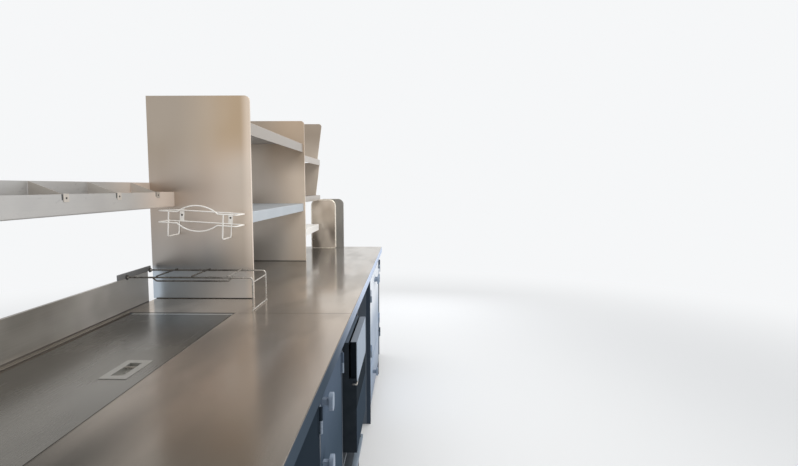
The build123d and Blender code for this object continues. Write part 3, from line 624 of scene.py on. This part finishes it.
# %% Every finish by name
finishes = {
    "worktop": worktop_steel(),
    "splash": splash_steel(),
    "lid": lid_steel(),
    "pull": plain_steel("pull_plate", tone(0.30, 0.30, 0.29), tone(0.46, 0.46, 0.44), rough=0.36),
    "panel_1": panel_1_steel(),
    "panel_2": panel_2_steel(),
    "shelf": shelf_steel(),
    "far_shelf": far_shelf_steel(),
    "end_plate": end_plate_steel(),
    "rail": rail_steel(),
    "tab": plain_steel("tab_steel", tone(0.50, 0.46, 0.41), tone(0.66, 0.62, 0.57), rough=0.4, metallic=0.6),
    "guard": guard_steel(),
    "carcass": carcass_steel(),
    # Door A's near-black colour is painted shade.
    "door_dark": painted("door_dark", tone(0.024, 0.034, 0.046), tone(0.016, 0.018, 0.020), rough=0.34,
                         metallic=0.04),
    "door_grey": door_grey(),
    "pale": pale_front(),
    "dark": painted("dark_steel", tone(0.035, 0.04, 0.045), tone(0.10, 0.09, 0.08), rough=0.5, shine=0.25),
    "shaded": plain_steel("shaded_steel", tone(0.035, 0.045, 0.058), tone(0.08, 0.10, 0.125), rough=0.42,
                          metallic=0.3, shine=0.15, tint=cool_rim),
    "inner": plain_steel("inner_steel", tone(0.24, 0.25, 0.27), tone(0.36, 0.38, 0.41), rough=0.42),
    "sill": plain_steel("sill_steel", tone(0.17, 0.22, 0.28), tone(0.24, 0.30, 0.37), rough=0.34,
                        metallic=0.2, shine=0.05, tint=(0.5, 0.57, 0.66)),
    "oven": oven_finish(),
    "oven_door": oven_door_finish(),
    "bar": painted("bar_steel", tone(0.20, 0.205, 0.21), tone(0.30, 0.29, 0.28), rough=0.45,
                   metallic=0.3, shine=0.4),
    "plated": rack_plating(),
    "coated": wire_finish("coated_wire", tone(0.93, 0.91, 0.87), tone(0.66, 0.60, 0.52), rough=0.4,
                          metallic=0.0),
    "knob": painted("latch_plastic", tone(0.26, 0.32, 0.41), tone(0.20, 0.21, 0.23), rough=0.4, shine=0.3),
    "rim": wire_finish("rim_steel", tone(0.86, 0.80, 0.71), tone(0.60, 0.53, 0.45), rough=0.26),
    "bolt": wire_finish("bolt_steel", tone(0.42, 0.40, 0.37), tone(0.15, 0.13, 0.11), rough=0.32,
                        metallic=0.9),
    "dark_bolt": wire_finish("dark_bolt", tone(0.05, 0.05, 0.05), tone(0.12, 0.10, 0.09), rough=0.45),
    "seal": painted("dark_seal", tone(0.035, 0.030, 0.026), tone(0.08, 0.07, 0.06), rough=0.5, shine=0.2),
    # The lid's hinge is painted dark brown as painted shade of the groove it lies in.
    "hinge": wire_finish("hinge_steel", tone(0.060, 0.048, 0.038), tone(0.10, 0.08, 0.06), rough=0.5),
    "door_hinge": wire_finish("door_hinge_steel", tone(0.24, 0.29, 0.36), tone(0.12, 0.14, 0.17), rough=0.4),
}
print(len(finishes), "finishes")

# %% [markdown]
# ## Giving each solid its finish
# The solids keep their own shape. A short table says which finish each node wears. Nodes that are dressed
# again further down still get one, so that nothing is ever left bare.

# %% Finish by node
wears = {
    "worktop": ("worktop",),
    "splash": ("rear_splash",),
    "lid": ("lid",),
    "pull": ("lid_pull",),
    "bolt": ("lid_bail",),
    "door_hinge": ("door_hinges",),
    "hinge": ("lid_hinge", "lid_leaf"),
    "panel_1": ("panel_1",),
    "panel_2": ("panel_2",),
    "shelf": ("near_shelves",),
    "far_shelf": ("far_shelves",),
    "end_plate": ("end_plates",),
    "rail": ("bottle_rail",),
    "tab": ("rail_dividers",),
    "guard": ("splash_guards",),
    "carcass": ("end_sides", "bay_dividers", "pale_cabinet_sides", "front_rails"),
    "door_dark": ("door_a",),
    "door_grey": ("door_b", "door_e"),
    "pale": ("door_d1", "door_d2", "drawer_front"),
    "dark": ("back_panels", "plinths"),
    "inner": ("well_tub", "drawer_box", "drawer_runners", "drawer_deck"),
    "shaded": ("cabinet_floors", "oven_shelf", "bay_deck"),
    "sill": ("sill_bar",),
    "oven": ("oven_body",),
    "oven_door": ("oven_door",),
    "bar": ("rack_bar",),
    "plated": ("wire_rack",),
    "coated": ("wire_holder",),
    "knob": ("latch_a", "latch_b", "latch_d1", "latch_d2", "latch_e", "latch_drawer"),
}
for finish_name, members in wears.items():
    for member in members:
        for material_slot in nodes[member].material_slots:
            material_slot.material = finishes[finish_name]
bare = set(nodes) - {member for members in wears.values() for member in members}
print("nodes with no finish:", sorted(bare))

# %% [markdown]
# ## Softened edges
# No real door has a perfectly sharp corner, and it is the narrow highlight along the corner that makes
# sheet metal look made. A copy of the solid is cleaned of its triangles and its long edges are bevelled.
# The copy stands in for the solid, which stays underneath for the physics.


# %% An object from a shape
def object_from(shape, name, finish_name, sharp):
    """A smooth object that wears a finish, its edges kept crisp above an angle in degrees."""
    mesh = bpy.data.meshes.new(name)
    shape.to_mesh(mesh)
    shape.free()
    mesh.materials.clear()
    mesh.materials.append(finishes[finish_name])
    for polygon in mesh.polygons:
        polygon.use_smooth = True
    mesh.set_sharp_from_angle(angle=math.radians(sharp))
    piece = bpy.data.objects.new(name, mesh)
    bpy.context.scene.collection.objects.link(piece)
    print(name, len(mesh.polygons), "faces")
    return piece


# %% A softened copy of a solid
def softened(node, finish_name, width, shortest):
    """Bevel every edge longer than the shortest, between faces that meet at a clear corner."""
    shape = bmesh.new()
    shape.from_mesh(nodes[node].data)
    bmesh.ops.remove_doubles(shape, verts=shape.verts, dist=1e-6)
    bmesh.ops.dissolve_limit(shape, angle_limit=0.01, verts=shape.verts, edges=shape.edges)
    corners = [edge for edge in shape.edges if len(edge.link_faces) == 2
               and edge.calc_length() > shortest and edge.calc_face_angle(0.0) > 0.7]
    bmesh.ops.bevel(shape, geom=corners, offset=width, segments=2, profile=0.5, affect="EDGES",
                    clamp_overlap=True)
    piece = object_from(shape, node + "_soft", finish_name, 32)
    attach(piece, body_of(nodes[node])[0])
    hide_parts(node)


fronts = (("door_a", "door_dark", "cabinet_steel"), ("door_b", "door_grey", "cabinet_steel"),
          ("door_e", "door_grey", "cabinet_steel"), ("door_d1", "pale", "pale_front"),
          ("door_d2", "pale", "pale_front"), ("drawer_front", "pale", "pale_front"))
for node, finish_name, slot_name in fronts:
    softened(node, finish_name, width=1.2 * mm, shortest=200 * mm)
for latch in wears["knob"]:
    softened(latch, "knob", width=2 * mm, shortest=2 * mm)
softened("sill_bar", "sill", width=1 * mm, shortest=50 * mm)
softened("rack_bar", "bar", width=0.8 * mm, shortest=20 * mm)

# %% [markdown]
# ## Trees that grow pieces
# Wires and bolts repeat, so each kind is one Geometry Nodes tree with named inputs. A seed mesh says where
# they go. The result is turned into a plain mesh and the modifier is taken off, so nothing depends on it.


# %% Small helpers for geometry trees
def new_tree(name, inputs):
    """A geometry tree with its sockets, and a function that adds a node to it."""
    tree = bpy.data.node_groups.new(name, "GeometryNodeTree")
    tree.interface.new_socket("Geometry", in_out="INPUT", socket_type="NodeSocketGeometry")
    for label, kind in inputs:
        tree.interface.new_socket(label, in_out="INPUT", socket_type=kind)
    tree.interface.new_socket("Geometry", in_out="OUTPUT", socket_type="NodeSocketGeometry")
    group_in = tree.nodes.new("NodeGroupInput")
    group_out = tree.nodes.new("NodeGroupOutput")

    def add(kind, settings, sockets):
        return add_node(tree, kind, settings, sockets)

    def close(geometry, finish_socket):
        plain = add("GeometryNodeRealizeInstances", {}, {0: geometry})
        dressed = add("GeometryNodeSetMaterial", {}, {"Geometry": plain, "Material": finish_socket})
        tree.links.new(dressed, group_out.inputs[0])

    return tree, group_in.outputs, add, close


print("tree helpers ready")


# %% Growing a piece
def grow(name, seed_mesh, tree, sizes, body):
    """Run a tree on a seed mesh and keep the result as a plain riding piece."""
    piece = bpy.data.objects.new(name, seed_mesh)
    bpy.context.scene.collection.objects.link(piece)
    modifier = piece.modifiers.new("grown", "NODES")
    modifier.node_group = tree
    for item in tree.interface.items_tree:
        if item.in_out == "INPUT" and item.name in sizes:
            modifier[item.identifier] = sizes[item.name]
    ready = piece.evaluated_get(bpy.context.evaluated_depsgraph_get())
    mesh = bpy.data.meshes.new_from_object(ready)
    piece.modifiers.remove(modifier)
    piece.data = mesh
    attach(piece, body)
    print(name, len(mesh.polygons), "faces")
    return piece


print("growing ready")

# %% The bent wire tree
wire_tree, wire_in, add, close = new_tree("bent_wire", [
    ("Radius", "NodeSocketFloat"), ("Bend", "NodeSocketFloat"), ("Finish", "NodeSocketMaterial")])
line = add("GeometryNodeMeshToCurve", {}, {"Mesh": wire_in["Geometry"]})
bent = add("GeometryNodeFilletCurve", {"mode": "POLY"},
           {"Curve": line, "Radius": wire_in["Bend"], "Limit Radius": True, "Count": 6})
ring = add("GeometryNodeCurvePrimitiveCircle", {"mode": "RADIUS"},
           {"Resolution": 14, "Radius": wire_in["Radius"]})
tube = add("GeometryNodeCurveToMesh", {}, {"Curve": bent, "Profile Curve": ring, "Fill Caps": True})
close(tube, wire_in["Finish"])
print("bent wire tree ready")

# %% The bolt head tree
bolt_tree, bolt_in, add, close = new_tree("bolt_heads", [
    ("Radius", "NodeSocketFloat"), ("Height", "NodeSocketFloat"), ("Facing", "NodeSocketVector"),
    ("Finish", "NodeSocketMaterial")])
top_radius = add("ShaderNodeMath", {"operation": "MULTIPLY"}, {0: bolt_in["Radius"], 1: 0.72})
head = add("GeometryNodeMeshCone", {}, {"Vertices": 18, "Radius Top": top_radius,
                                        "Radius Bottom": bolt_in["Radius"], "Depth": bolt_in["Height"]})
turned = add("FunctionNodeAlignRotationToVector", {"axis": "Z"}, {"Vector": bolt_in["Facing"]})
spread = add("GeometryNodeInstanceOnPoints", {},
             {"Points": bolt_in["Geometry"], "Instance": head, "Rotation": turned})
close(spread, bolt_in["Finish"])
print("bolt head tree ready")


# %% Seeds for the trees
def runs_mesh(name, runs):
    """A mesh of bare edges, one chain for each run of points."""
    points, edges = [], []
    for run in runs:
        first = len(points)
        points += run
        edges += [(first + i, first + i + 1) for i in range(len(run) - 1)]
    mesh = bpy.data.meshes.new(name)
    mesh.from_pydata(points, edges, [])
    return mesh


def wires(name, runs, radius, bend, body, finish_name):
    sizes = {"Radius": radius, "Bend": bend, "Finish": finishes[finish_name]}
    piece = grow(name, runs_mesh(name, runs), wire_tree, sizes, body)
    for polygon in piece.data.polygons:
        polygon.use_smooth = len(polygon.vertices) == 4
    return piece


def bolts(name, places, facing, body, finish_name, radius, height):
    """Heads on a face: each head's base sits at its place and it stands up along the facing."""
    sizes = {"Radius": radius, "Height": height, "Facing": facing, "Finish": finishes[finish_name]}
    seed = runs_mesh(name, [[place] for place in places])
    return grow(name, seed, bolt_tree, sizes, body)


to_near_end, to_aisle, straight_up = (-1, 0, 0), (0, -1, 0), (0, 0, 1)
print("seeds ready")

# %% [markdown]
# ## The wire rack
# The rack over the worktop is bright bent wire: two long wires that turn down into legs, three cross wires,
# a rod between the legs and a stiffener under the near wire. Its solid has ten-sided wire, so the real
# round wire is grown here along the same lines and stands in for it.

# %% Wire rack
wire_r = 3.5 * mm
cross_r = 3.0 * mm
foot_past_leg = 12 * mm
leg_bend = 14 * mm
rack_rise = 134 * mm
rod_drop = 19 * mm
cross_bite = 1.0 * mm
cross_places = (101 * mm, 244 * mm, 387 * mm)
rack_x0 = rack_low.x + foot_past_leg
rack_x1 = rack_high.x - foot_past_leg
rack_y = rack_low.y + wire_r
rack_z = deck_top + rack_rise
foot_z = deck_top + wire_r
rack_runs = [[(x, bar_low.y, rack_z), (x, rack_y, rack_z), (x, rack_y, foot_z)] for x in (rack_x0, rack_x1)]
rack_runs.append([(rack_low.x, rack_y, foot_z), (rack_high.x, rack_y, foot_z)])
rack = wires("rack_wires", rack_runs, wire_r, leg_bend, "counter", "plated")
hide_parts("wire_rack")
cross_z = rack_z + wire_r + cross_r - cross_bite
cross_runs = [[(rack_x0 - wire_r, rack_y + place, cross_z), (rack_x1 + wire_r, rack_y + place, cross_z)]
              for place in cross_places]
cross_runs.append([(rack_x0, rack_y, rack_z - rod_drop), (rack_x1, rack_y, rack_z - rod_drop)])
wires("rack_cross_wires", cross_runs, cross_r, 0.0, "counter", "plated")

# %% Stiffener under the near wire
stiff_setback = 82 * mm
stiff_length = 323 * mm
stiff_drop = 14 * mm
stiff_slope = 16 * mm
stiff_bend = 8 * mm
stiff_y0 = rack_y + stiff_setback
stiff_y1 = stiff_y0 + stiff_length
stiff_z = rack_z - stiff_drop
stiffener = [[(rack_x0, stiff_y0, rack_z), (rack_x0, stiff_y0 + stiff_slope, stiff_z),
              (rack_x0, stiff_y1 - stiff_slope, stiff_z), (rack_x0, stiff_y1, rack_z)]]
wires("rack_stiffener", stiffener, cross_r, stiff_bend, "counter", "plated")

# %% [markdown]
# ## The wire holder
# White coated wire on the first tall panel. Each of its two levels is a straight rail against the panel and a
# rail that comes forward, bows in the middle and goes back. Two arms hang from the front and return to the
# panel. The tree that grew the rack grows it too. The bow could be drawn by hand, but one radius worked out
# from its rise stays round. The real one hangs a little askew, so every point is turned by the same angle.

# %% Wire holder
hold_r = 2.9 * mm
hold_bend = 9 * mm
hold_off = 3 * mm
hold_reach = 112 * mm
hold_setback = 32 * mm
hold_length = 330 * mm
arm_places = (56 * mm, 287 * mm)
arm_drop = 58 * mm
bow_half = 85 * mm
bow_steps = 16
bow_rises = (30 * mm, -30 * mm)
askew = math.radians(3.5)
level_z = (deck_top + 388 * mm, deck_top + 340 * mm)
back_x = panel_1_low.x - hold_off
front_x = panel_1_low.x - hold_reach
hold_y0 = panel_1_low.y + hold_setback
hold_y1 = hold_y0 + hold_length
middle_y = (hold_y0 + hold_y1) / 2
middle_z = sum(level_z) / 2


def hung(x, y, z):
    """A point of the holder after it has sagged to its small angle."""
    dy, dz = y - middle_y, z - middle_z
    return (x, middle_y + dy * math.cos(askew) - dz * math.sin(askew),
            middle_z + dy * math.sin(askew) + dz * math.cos(askew))


def bowed(z, rise):
    """Points of a round bow over the middle of a rail."""
    radius = (bow_half ** 2 + rise ** 2) / (2 * abs(rise))
    centre_z = z + rise - math.copysign(radius, rise)
    ys = [middle_y - bow_half + 2 * bow_half * i / bow_steps for i in range(bow_steps + 1)]
    return [hung(front_x, y, centre_z + math.copysign(math.sqrt(radius ** 2 - (y - middle_y) ** 2), rise))
            for y in ys]


holder_runs = [[hung(back_x, hold_y0, z), hung(back_x, hold_y1, z)] for z in level_z]
arm_foot = level_z[1] - arm_drop
for y in (hold_y0 + arm_places[0], hold_y0 + arm_places[1]):
    holder_runs.append([hung(front_x, y, level_z[0]), hung(front_x, y, arm_foot), hung(back_x, y, arm_foot),
                        hung(back_x, y, level_z[1])])
for z, rise in zip(level_z, bow_rises):
    holder_runs.append([hung(back_x, hold_y0, z), hung(front_x, hold_y0, z), *bowed(z, rise),
                        hung(front_x, hold_y1, z), hung(back_x, hold_y1, z)])
holder = wires("holder_wires", holder_runs, hold_r, hold_bend, "counter", "coated")
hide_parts("wire_holder")

# %% [markdown]
# ## Thin plates
# Strips, beads, tabs and slots are all thin bars with softened edges. Each could carry a Bevel modifier, but
# one function that makes a bar between two corners, rounds its edges and puts it on the body that it moves
# with leaves nothing to apply later.


# %% Plates with soft edges
def plate(name, low, high, body, finish_name, edge):
    """A thin plate with rounded edges between two corners."""
    shape = bmesh.new()
    bmesh.ops.create_cube(shape, size=1.0)
    size = [b - a for a, b in zip(low, high)]
    centre = [(a + b) / 2 for a, b in zip(low, high)]
    bmesh.ops.scale(shape, vec=size, verts=shape.verts)
    bmesh.ops.translate(shape, vec=centre, verts=shape.verts)
    bmesh.ops.bevel(shape, geom=list(shape.edges), offset=edge, segments=2, profile=0.5, affect="EDGES")
    piece = object_from(shape, name, finish_name, 40)
    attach(piece, body)
    return piece


print("plates ready")

# %% [markdown]
# ## Seams and seals
# The lid needs room to swing, but only a hairline shows, because a narrow folded strip fills most of
# the front gap. Where the tall panels stand on the worktop a dark bead of sealant runs along their feet.

# %% Strip in the lid's front gap
strip_past_lid = 5.8 * mm
strip_gap = 1.6 * mm
strip_depth = 8 * mm
strip_drop = 0.2 * mm
plate("lid_seam_strip", (lid_low.x - strip_past_lid, lid_low.y - strip_past_lid, deck_top - strip_depth),
      (lid_high.x + strip_past_lid, lid_low.y - strip_gap, deck_top - strip_drop), "counter", "worktop",
      edge=0.3 * mm)

# %% Sealant beads
bead_width = 1.6 * mm
bead_height = 3 * mm
for name, panel_low in (("panel_1_seal", panel_1_low), ("panel_2_seal", panel_2_low)):
    plate(name, (panel_low.x - bead_width, panel_low.y, deck_top),
          (panel_low.x, splash_low.y, deck_top + bead_height), "counter", "seal",
          edge=0.5 * mm)

# %% [markdown]
# ## Fixings of the holder and the rack
# The holder hangs from two small coated tabs, each with one dark screw. They lean as it does, so their
# corners are turned by the same angle. The rack's long wires end at the flat bar, where each is held by a
# dark washer with a brighter nut. A screw could be cut with its slot and thread, but at this size a short
# cone seated on the sheet shows as much.

# %% Holder tabs and screws
tab_sheet = 1.8 * mm
tab_half = 10 * mm
tab_past_rail = 3 * mm
tab_places = (62 * mm, 277 * mm)
tab_screw_rise = 3 * mm
screw_places = []
for number, place in enumerate(tab_places, 1):
    y = hold_y0 + place
    tab = plate(f"holder_tab_{number}", (panel_1_low.x - tab_sheet, y - tab_half, level_z[1] - tab_past_rail),
                (panel_1_low.x, y + tab_half, level_z[0] + tab_past_rail), "counter", "coated",
                edge=0.6 * mm)
    for vertex in tab.data.vertices:
        vertex.co = hung(*vertex.co)
    screw_places.append(hung(panel_1_low.x - tab_sheet, y, middle_z + tab_screw_rise))
bolts("holder_screws", screw_places, to_near_end, "counter", "dark_bolt", radius=4.5 * mm,
      height=2.2 * mm)

# %% Rack washers and nuts
washer_height = 6 * mm
bolts("rack_bolts", [(x, bar_low.y, rack_z) for x in (rack_x0, rack_x1)], to_aisle, "counter", "dark_bolt",
      radius=11 * mm, height=washer_height)
bolts("rack_bolt_centres", [(x, bar_low.y - washer_height, rack_z) for x in (rack_x0, rack_x1)], to_aisle,
      "counter", "bolt", radius=5 * mm, height=2 * mm)

# %% [markdown]
# ## Guard, rail tabs and small fixings
# The near guard at the far end has a bright rolled rim, which the wire tree can grow, because it is one round
# bead along the edge. The rail's hooked tabs each sit beside a dark slot. A slot could be cut, but it is too
# narrow to see into, so a thin dark plate stands in for it. The sill is screwed down at both ends, the guard
# has three screws beside its rear edge, and a small clip hangs at the oven door's foot.

# %% Guard rim
rim_r = 8.4 * mm
rim_bend = 45 * mm
rim_foot = 6 * mm
rim_inset = 2 * mm
guard_inset = 8 * mm
guard_setback = 63 * mm
guard_width = 191 * mm
guard_x = guards_low.x + guard_inset
guard_y0 = guards_low.y + guard_setback
guard_y1 = guard_y0 + guard_width
rim_y0, rim_y1 = guard_y0 + rim_inset, guard_y1 - rim_inset
rim_z0, rim_z1 = deck_top + rim_foot, guards_high.z - guard_inset - rim_inset
rim = [[(guard_x, rim_y1, rim_z0), (guard_x, rim_y1, rim_z1), (guard_x, rim_y0, rim_z1),
        (guard_x, rim_y0, rim_z0)]]
wires("guard_rim", rim, rim_r, rim_bend, "counter", "rim")

# %% Slots and screws beside the rail's tabs
slot_count = 4
slot_first = 163 * mm
slot_pitch = 293 * mm
slot_near, slot_far = 7 * mm, 2 * mm
slot_low, slot_high = 47 * mm, 65 * mm
slot_half_depth = 0.4 * mm
screw_past_slot = 13 * mm
screw_lift = 53 * mm
screw_height = 1.5 * mm
slot_xs = [panel_1_low.x - slot_first - slot_pitch * number for number in range(slot_count)]
for number, x in enumerate(slot_xs, 1):
    plate(f"rail_slot_{number}", (x - slot_near, rail_low.y - slot_half_depth, rail_low.z + slot_low),
          (x - slot_far, rail_low.y + slot_half_depth, rail_low.z + slot_high), "counter", "dark",
          edge=0.2 * mm)
tab_screws = [(x + screw_past_slot, rail_low.y - screw_height, rail_low.z + screw_lift) for x in slot_xs]
bolts("rail_screws", tab_screws, to_aisle, "counter", "dark_bolt", radius=3.5 * mm,
      height=screw_height)

# %% Clip at the oven door's foot
clip_length = 40 * mm
clip_depth = 20 * mm
clip_drop = 5 * mm
clip_past_side = 2 * mm
clip_proud = 1 * mm
clip_lap = 1 * mm
clip_low = (oven_door_low.x - clip_past_side, oven_door_low.y - clip_proud, oven_door_low.z - clip_drop)
clip_high = (oven_door_low.x + clip_length, oven_door_low.y + clip_depth, oven_door_low.z + clip_lap)
plate("oven_door_foot", clip_low, clip_high, "oven_door", "bolt", edge=0.8 * mm)

# %% Sill screws
sill_inset = 25 * mm
sill_setback = 11 * mm
sill_screws = [(x, sill_low.y + sill_setback, sill_high.z)
               for x in (sill_low.x + sill_inset, sill_high.x - sill_inset)]
bolts("sill_screws", sill_screws, straight_up, "counter", "dark_bolt", radius=5 * mm,
      height=2 * mm)

# %% Guard foot strip and screws
foot_strip_width = 7 * mm
foot_strip_height = 3 * mm
plate("guard_foot_strip", (guards_low.x - foot_strip_width, guard_y0, deck_top),
      (guards_low.x, guard_y1, deck_top + foot_strip_height), "counter", "rim", edge=0.8 * mm)
guard_screw_inset = 14 * mm
guard_screw_lifts = (70 * mm, 190 * mm, 310 * mm)
guard_screws = [(guards_low.x, guard_y1 - guard_screw_inset, deck_top + lift) for lift in guard_screw_lifts]
bolts("guard_screws", guard_screws, to_near_end, "counter", "bolt", radius=4 * mm,
      height=2 * mm)

# %% [markdown]
# ## The camera's place
# The photograph was taken from the aisle, half a metre above the worktop and looking slightly down. A camera
# could be moved by eye until the picture fits, but then its lens stays a guess. Its place and lens were
# worked out instead, from where the counter's long edges meet and from a worktop's usual height.

# %% Camera at the photograph's viewing angle
photo_width = 798
focal_pixels = 528.0
look_down = math.radians(5.0)
look_aside = math.radians(1.04)
eye_before_end = 0.670
eye_off_front = 0.222
eye_over_deck = 0.497
camera_data = bpy.data.cameras.new("aisle_camera")
camera_data.sensor_fit = "HORIZONTAL"
camera_data.sensor_width = 36.0
camera_data.lens = focal_pixels / photo_width * camera_data.sensor_width
camera_data.clip_start = 0.05
camera = bpy.data.objects.new("aisle_camera", camera_data)
bpy.context.scene.collection.objects.link(camera)
camera.location = (worktop_low.x - eye_before_end, worktop_low.y - eye_off_front, deck_top + eye_over_deck)
camera.rotation_euler = (math.radians(90) - look_down, 0.0, look_aside - math.radians(90))
bpy.context.scene.camera = camera
print("lens", round(camera_data.lens, 2), "mm")

# %% [markdown]
# ## Floor, world and lamps
# The floor is plain and pale. The world is a soft studio: bright at the horizon, a little dimmer overhead,
# so that flat steel shows a gradient. A long soft box hangs before the fronts. A second one brightens the far
# end. The steel doesn't mirror it, because a bare lamp in the worktop would be one white patch.

# %% Pale floor
floor_mesh = bpy.data.meshes.new("studio_floor")
half = 14.0
floor_z = -0.5 * mm
floor_mesh.from_pydata([(-half, -half, floor_z), (half, -half, floor_z), (half, half, floor_z),
                        (-half, half, floor_z)], [], [(0, 1, 2, 3)])
floor = bpy.data.objects.new("studio_floor", floor_mesh)
bpy.context.scene.collection.objects.link(floor)
floor_finish = Finish("studio_floor", metallic=0.0, rough=0.6)
floor_finish.shader.inputs["Base Color"].default_value = tone(0.80, 0.81, 0.82)
reach = floor_finish.node("ShaderNodeVectorMath", {"operation": "LENGTH"}, {0: floor_finish.place}, "Value")
far_off = floor_finish.ramp(reach, 2.6, 6.5)
glow = floor_finish.node("ShaderNodeEmission", {}, {"Color": tone(0.92, 0.93, 0.94), "Strength": 1.0})
blend = floor_finish.node("ShaderNodeMixShader", {}, {0: far_off, 2: glow})
floor_finish.tree.links.new(floor_finish.shader.outputs[0], blend.socket.node.inputs[1])
floor_finish.tree.links.new(blend.socket, floor_finish.tree.nodes["Material Output"].inputs["Surface"])
floor_mesh.materials.append(floor_finish.material)
print("floor ready")

# %% World
world = bpy.data.worlds.new("studio")
bpy.context.scene.world = world
world.use_nodes = True
sky = world.node_tree
pale_room = tone(0.80, 0.81, 0.82)
direction = add_node(sky, "ShaderNodeTexCoord", {}, {}, "Generated")
upward = add_node(sky, "ShaderNodeSeparateXYZ", {}, {0: direction}, "Z")
climb = add_node(sky, "ShaderNodeMapRange", {"interpolation_type": "SMOOTHSTEP"},
                 {"Value": upward, "From Min": 0.0, "From Max": 0.8})
glossy = add_node(sky, "ShaderNodeLightPath", {}, {}, "Is Glossy Ray")
seen = add_node(sky, "ShaderNodeLightPath", {}, {}, "Is Camera Ray")


def sky_mix(mask, first, second):
    return add_node(sky, "ShaderNodeMix", {"data_type": "RGBA"}, {0: mask, 6: first, 7: second}, 2)


mirrored = sky_mix(climb, tone(1.0, 1.0, 1.0), tone(0.60, 0.56, 0.51))
around = sky_mix(glossy, pale_room, mirrored)
shown = sky_mix(seen, around, tone(0.92, 0.93, 0.94))
sky.links.new(shown, sky.nodes["Background"].inputs["Color"])
print("world ready")


# %% Lamps
def soft_box(name, place, aim, size, watts, colour, mirrored_in_steel):
    """A rectangular lamp that faces the point it is aimed at."""
    lamp = bpy.data.lights.new(name, "AREA")
    lamp.shape = "RECTANGLE"
    lamp.size, lamp.size_y = size
    lamp.energy = watts
    lamp.color = colour
    holder = bpy.data.objects.new(name, lamp)
    bpy.context.scene.collection.objects.link(holder)
    holder.location = place
    holder.rotation_euler = (Vector(aim) - Vector(place)).to_track_quat("-Z", "Y").to_euler()
    holder.visible_glossy = mirrored_in_steel


soft_box("aisle_box", place=(0.2, -1.3, 3.0), aim=(0.0, 0.0, 0.9), size=(4.0, 1.2), watts=45.0,
         colour=(1.0, 0.97, 0.93), mirrored_in_steel=True)
soft_box("far_box", place=(4.2, -0.8, 1.8), aim=(0.0, -0.2, 0.9), size=(1.6, 2.0), watts=25.0,
         colour=(0.95, 0.97, 1.0), mirrored_in_steel=False)
bpy.context.scene.view_settings.view_transform = "Standard"
print("lamps ready")
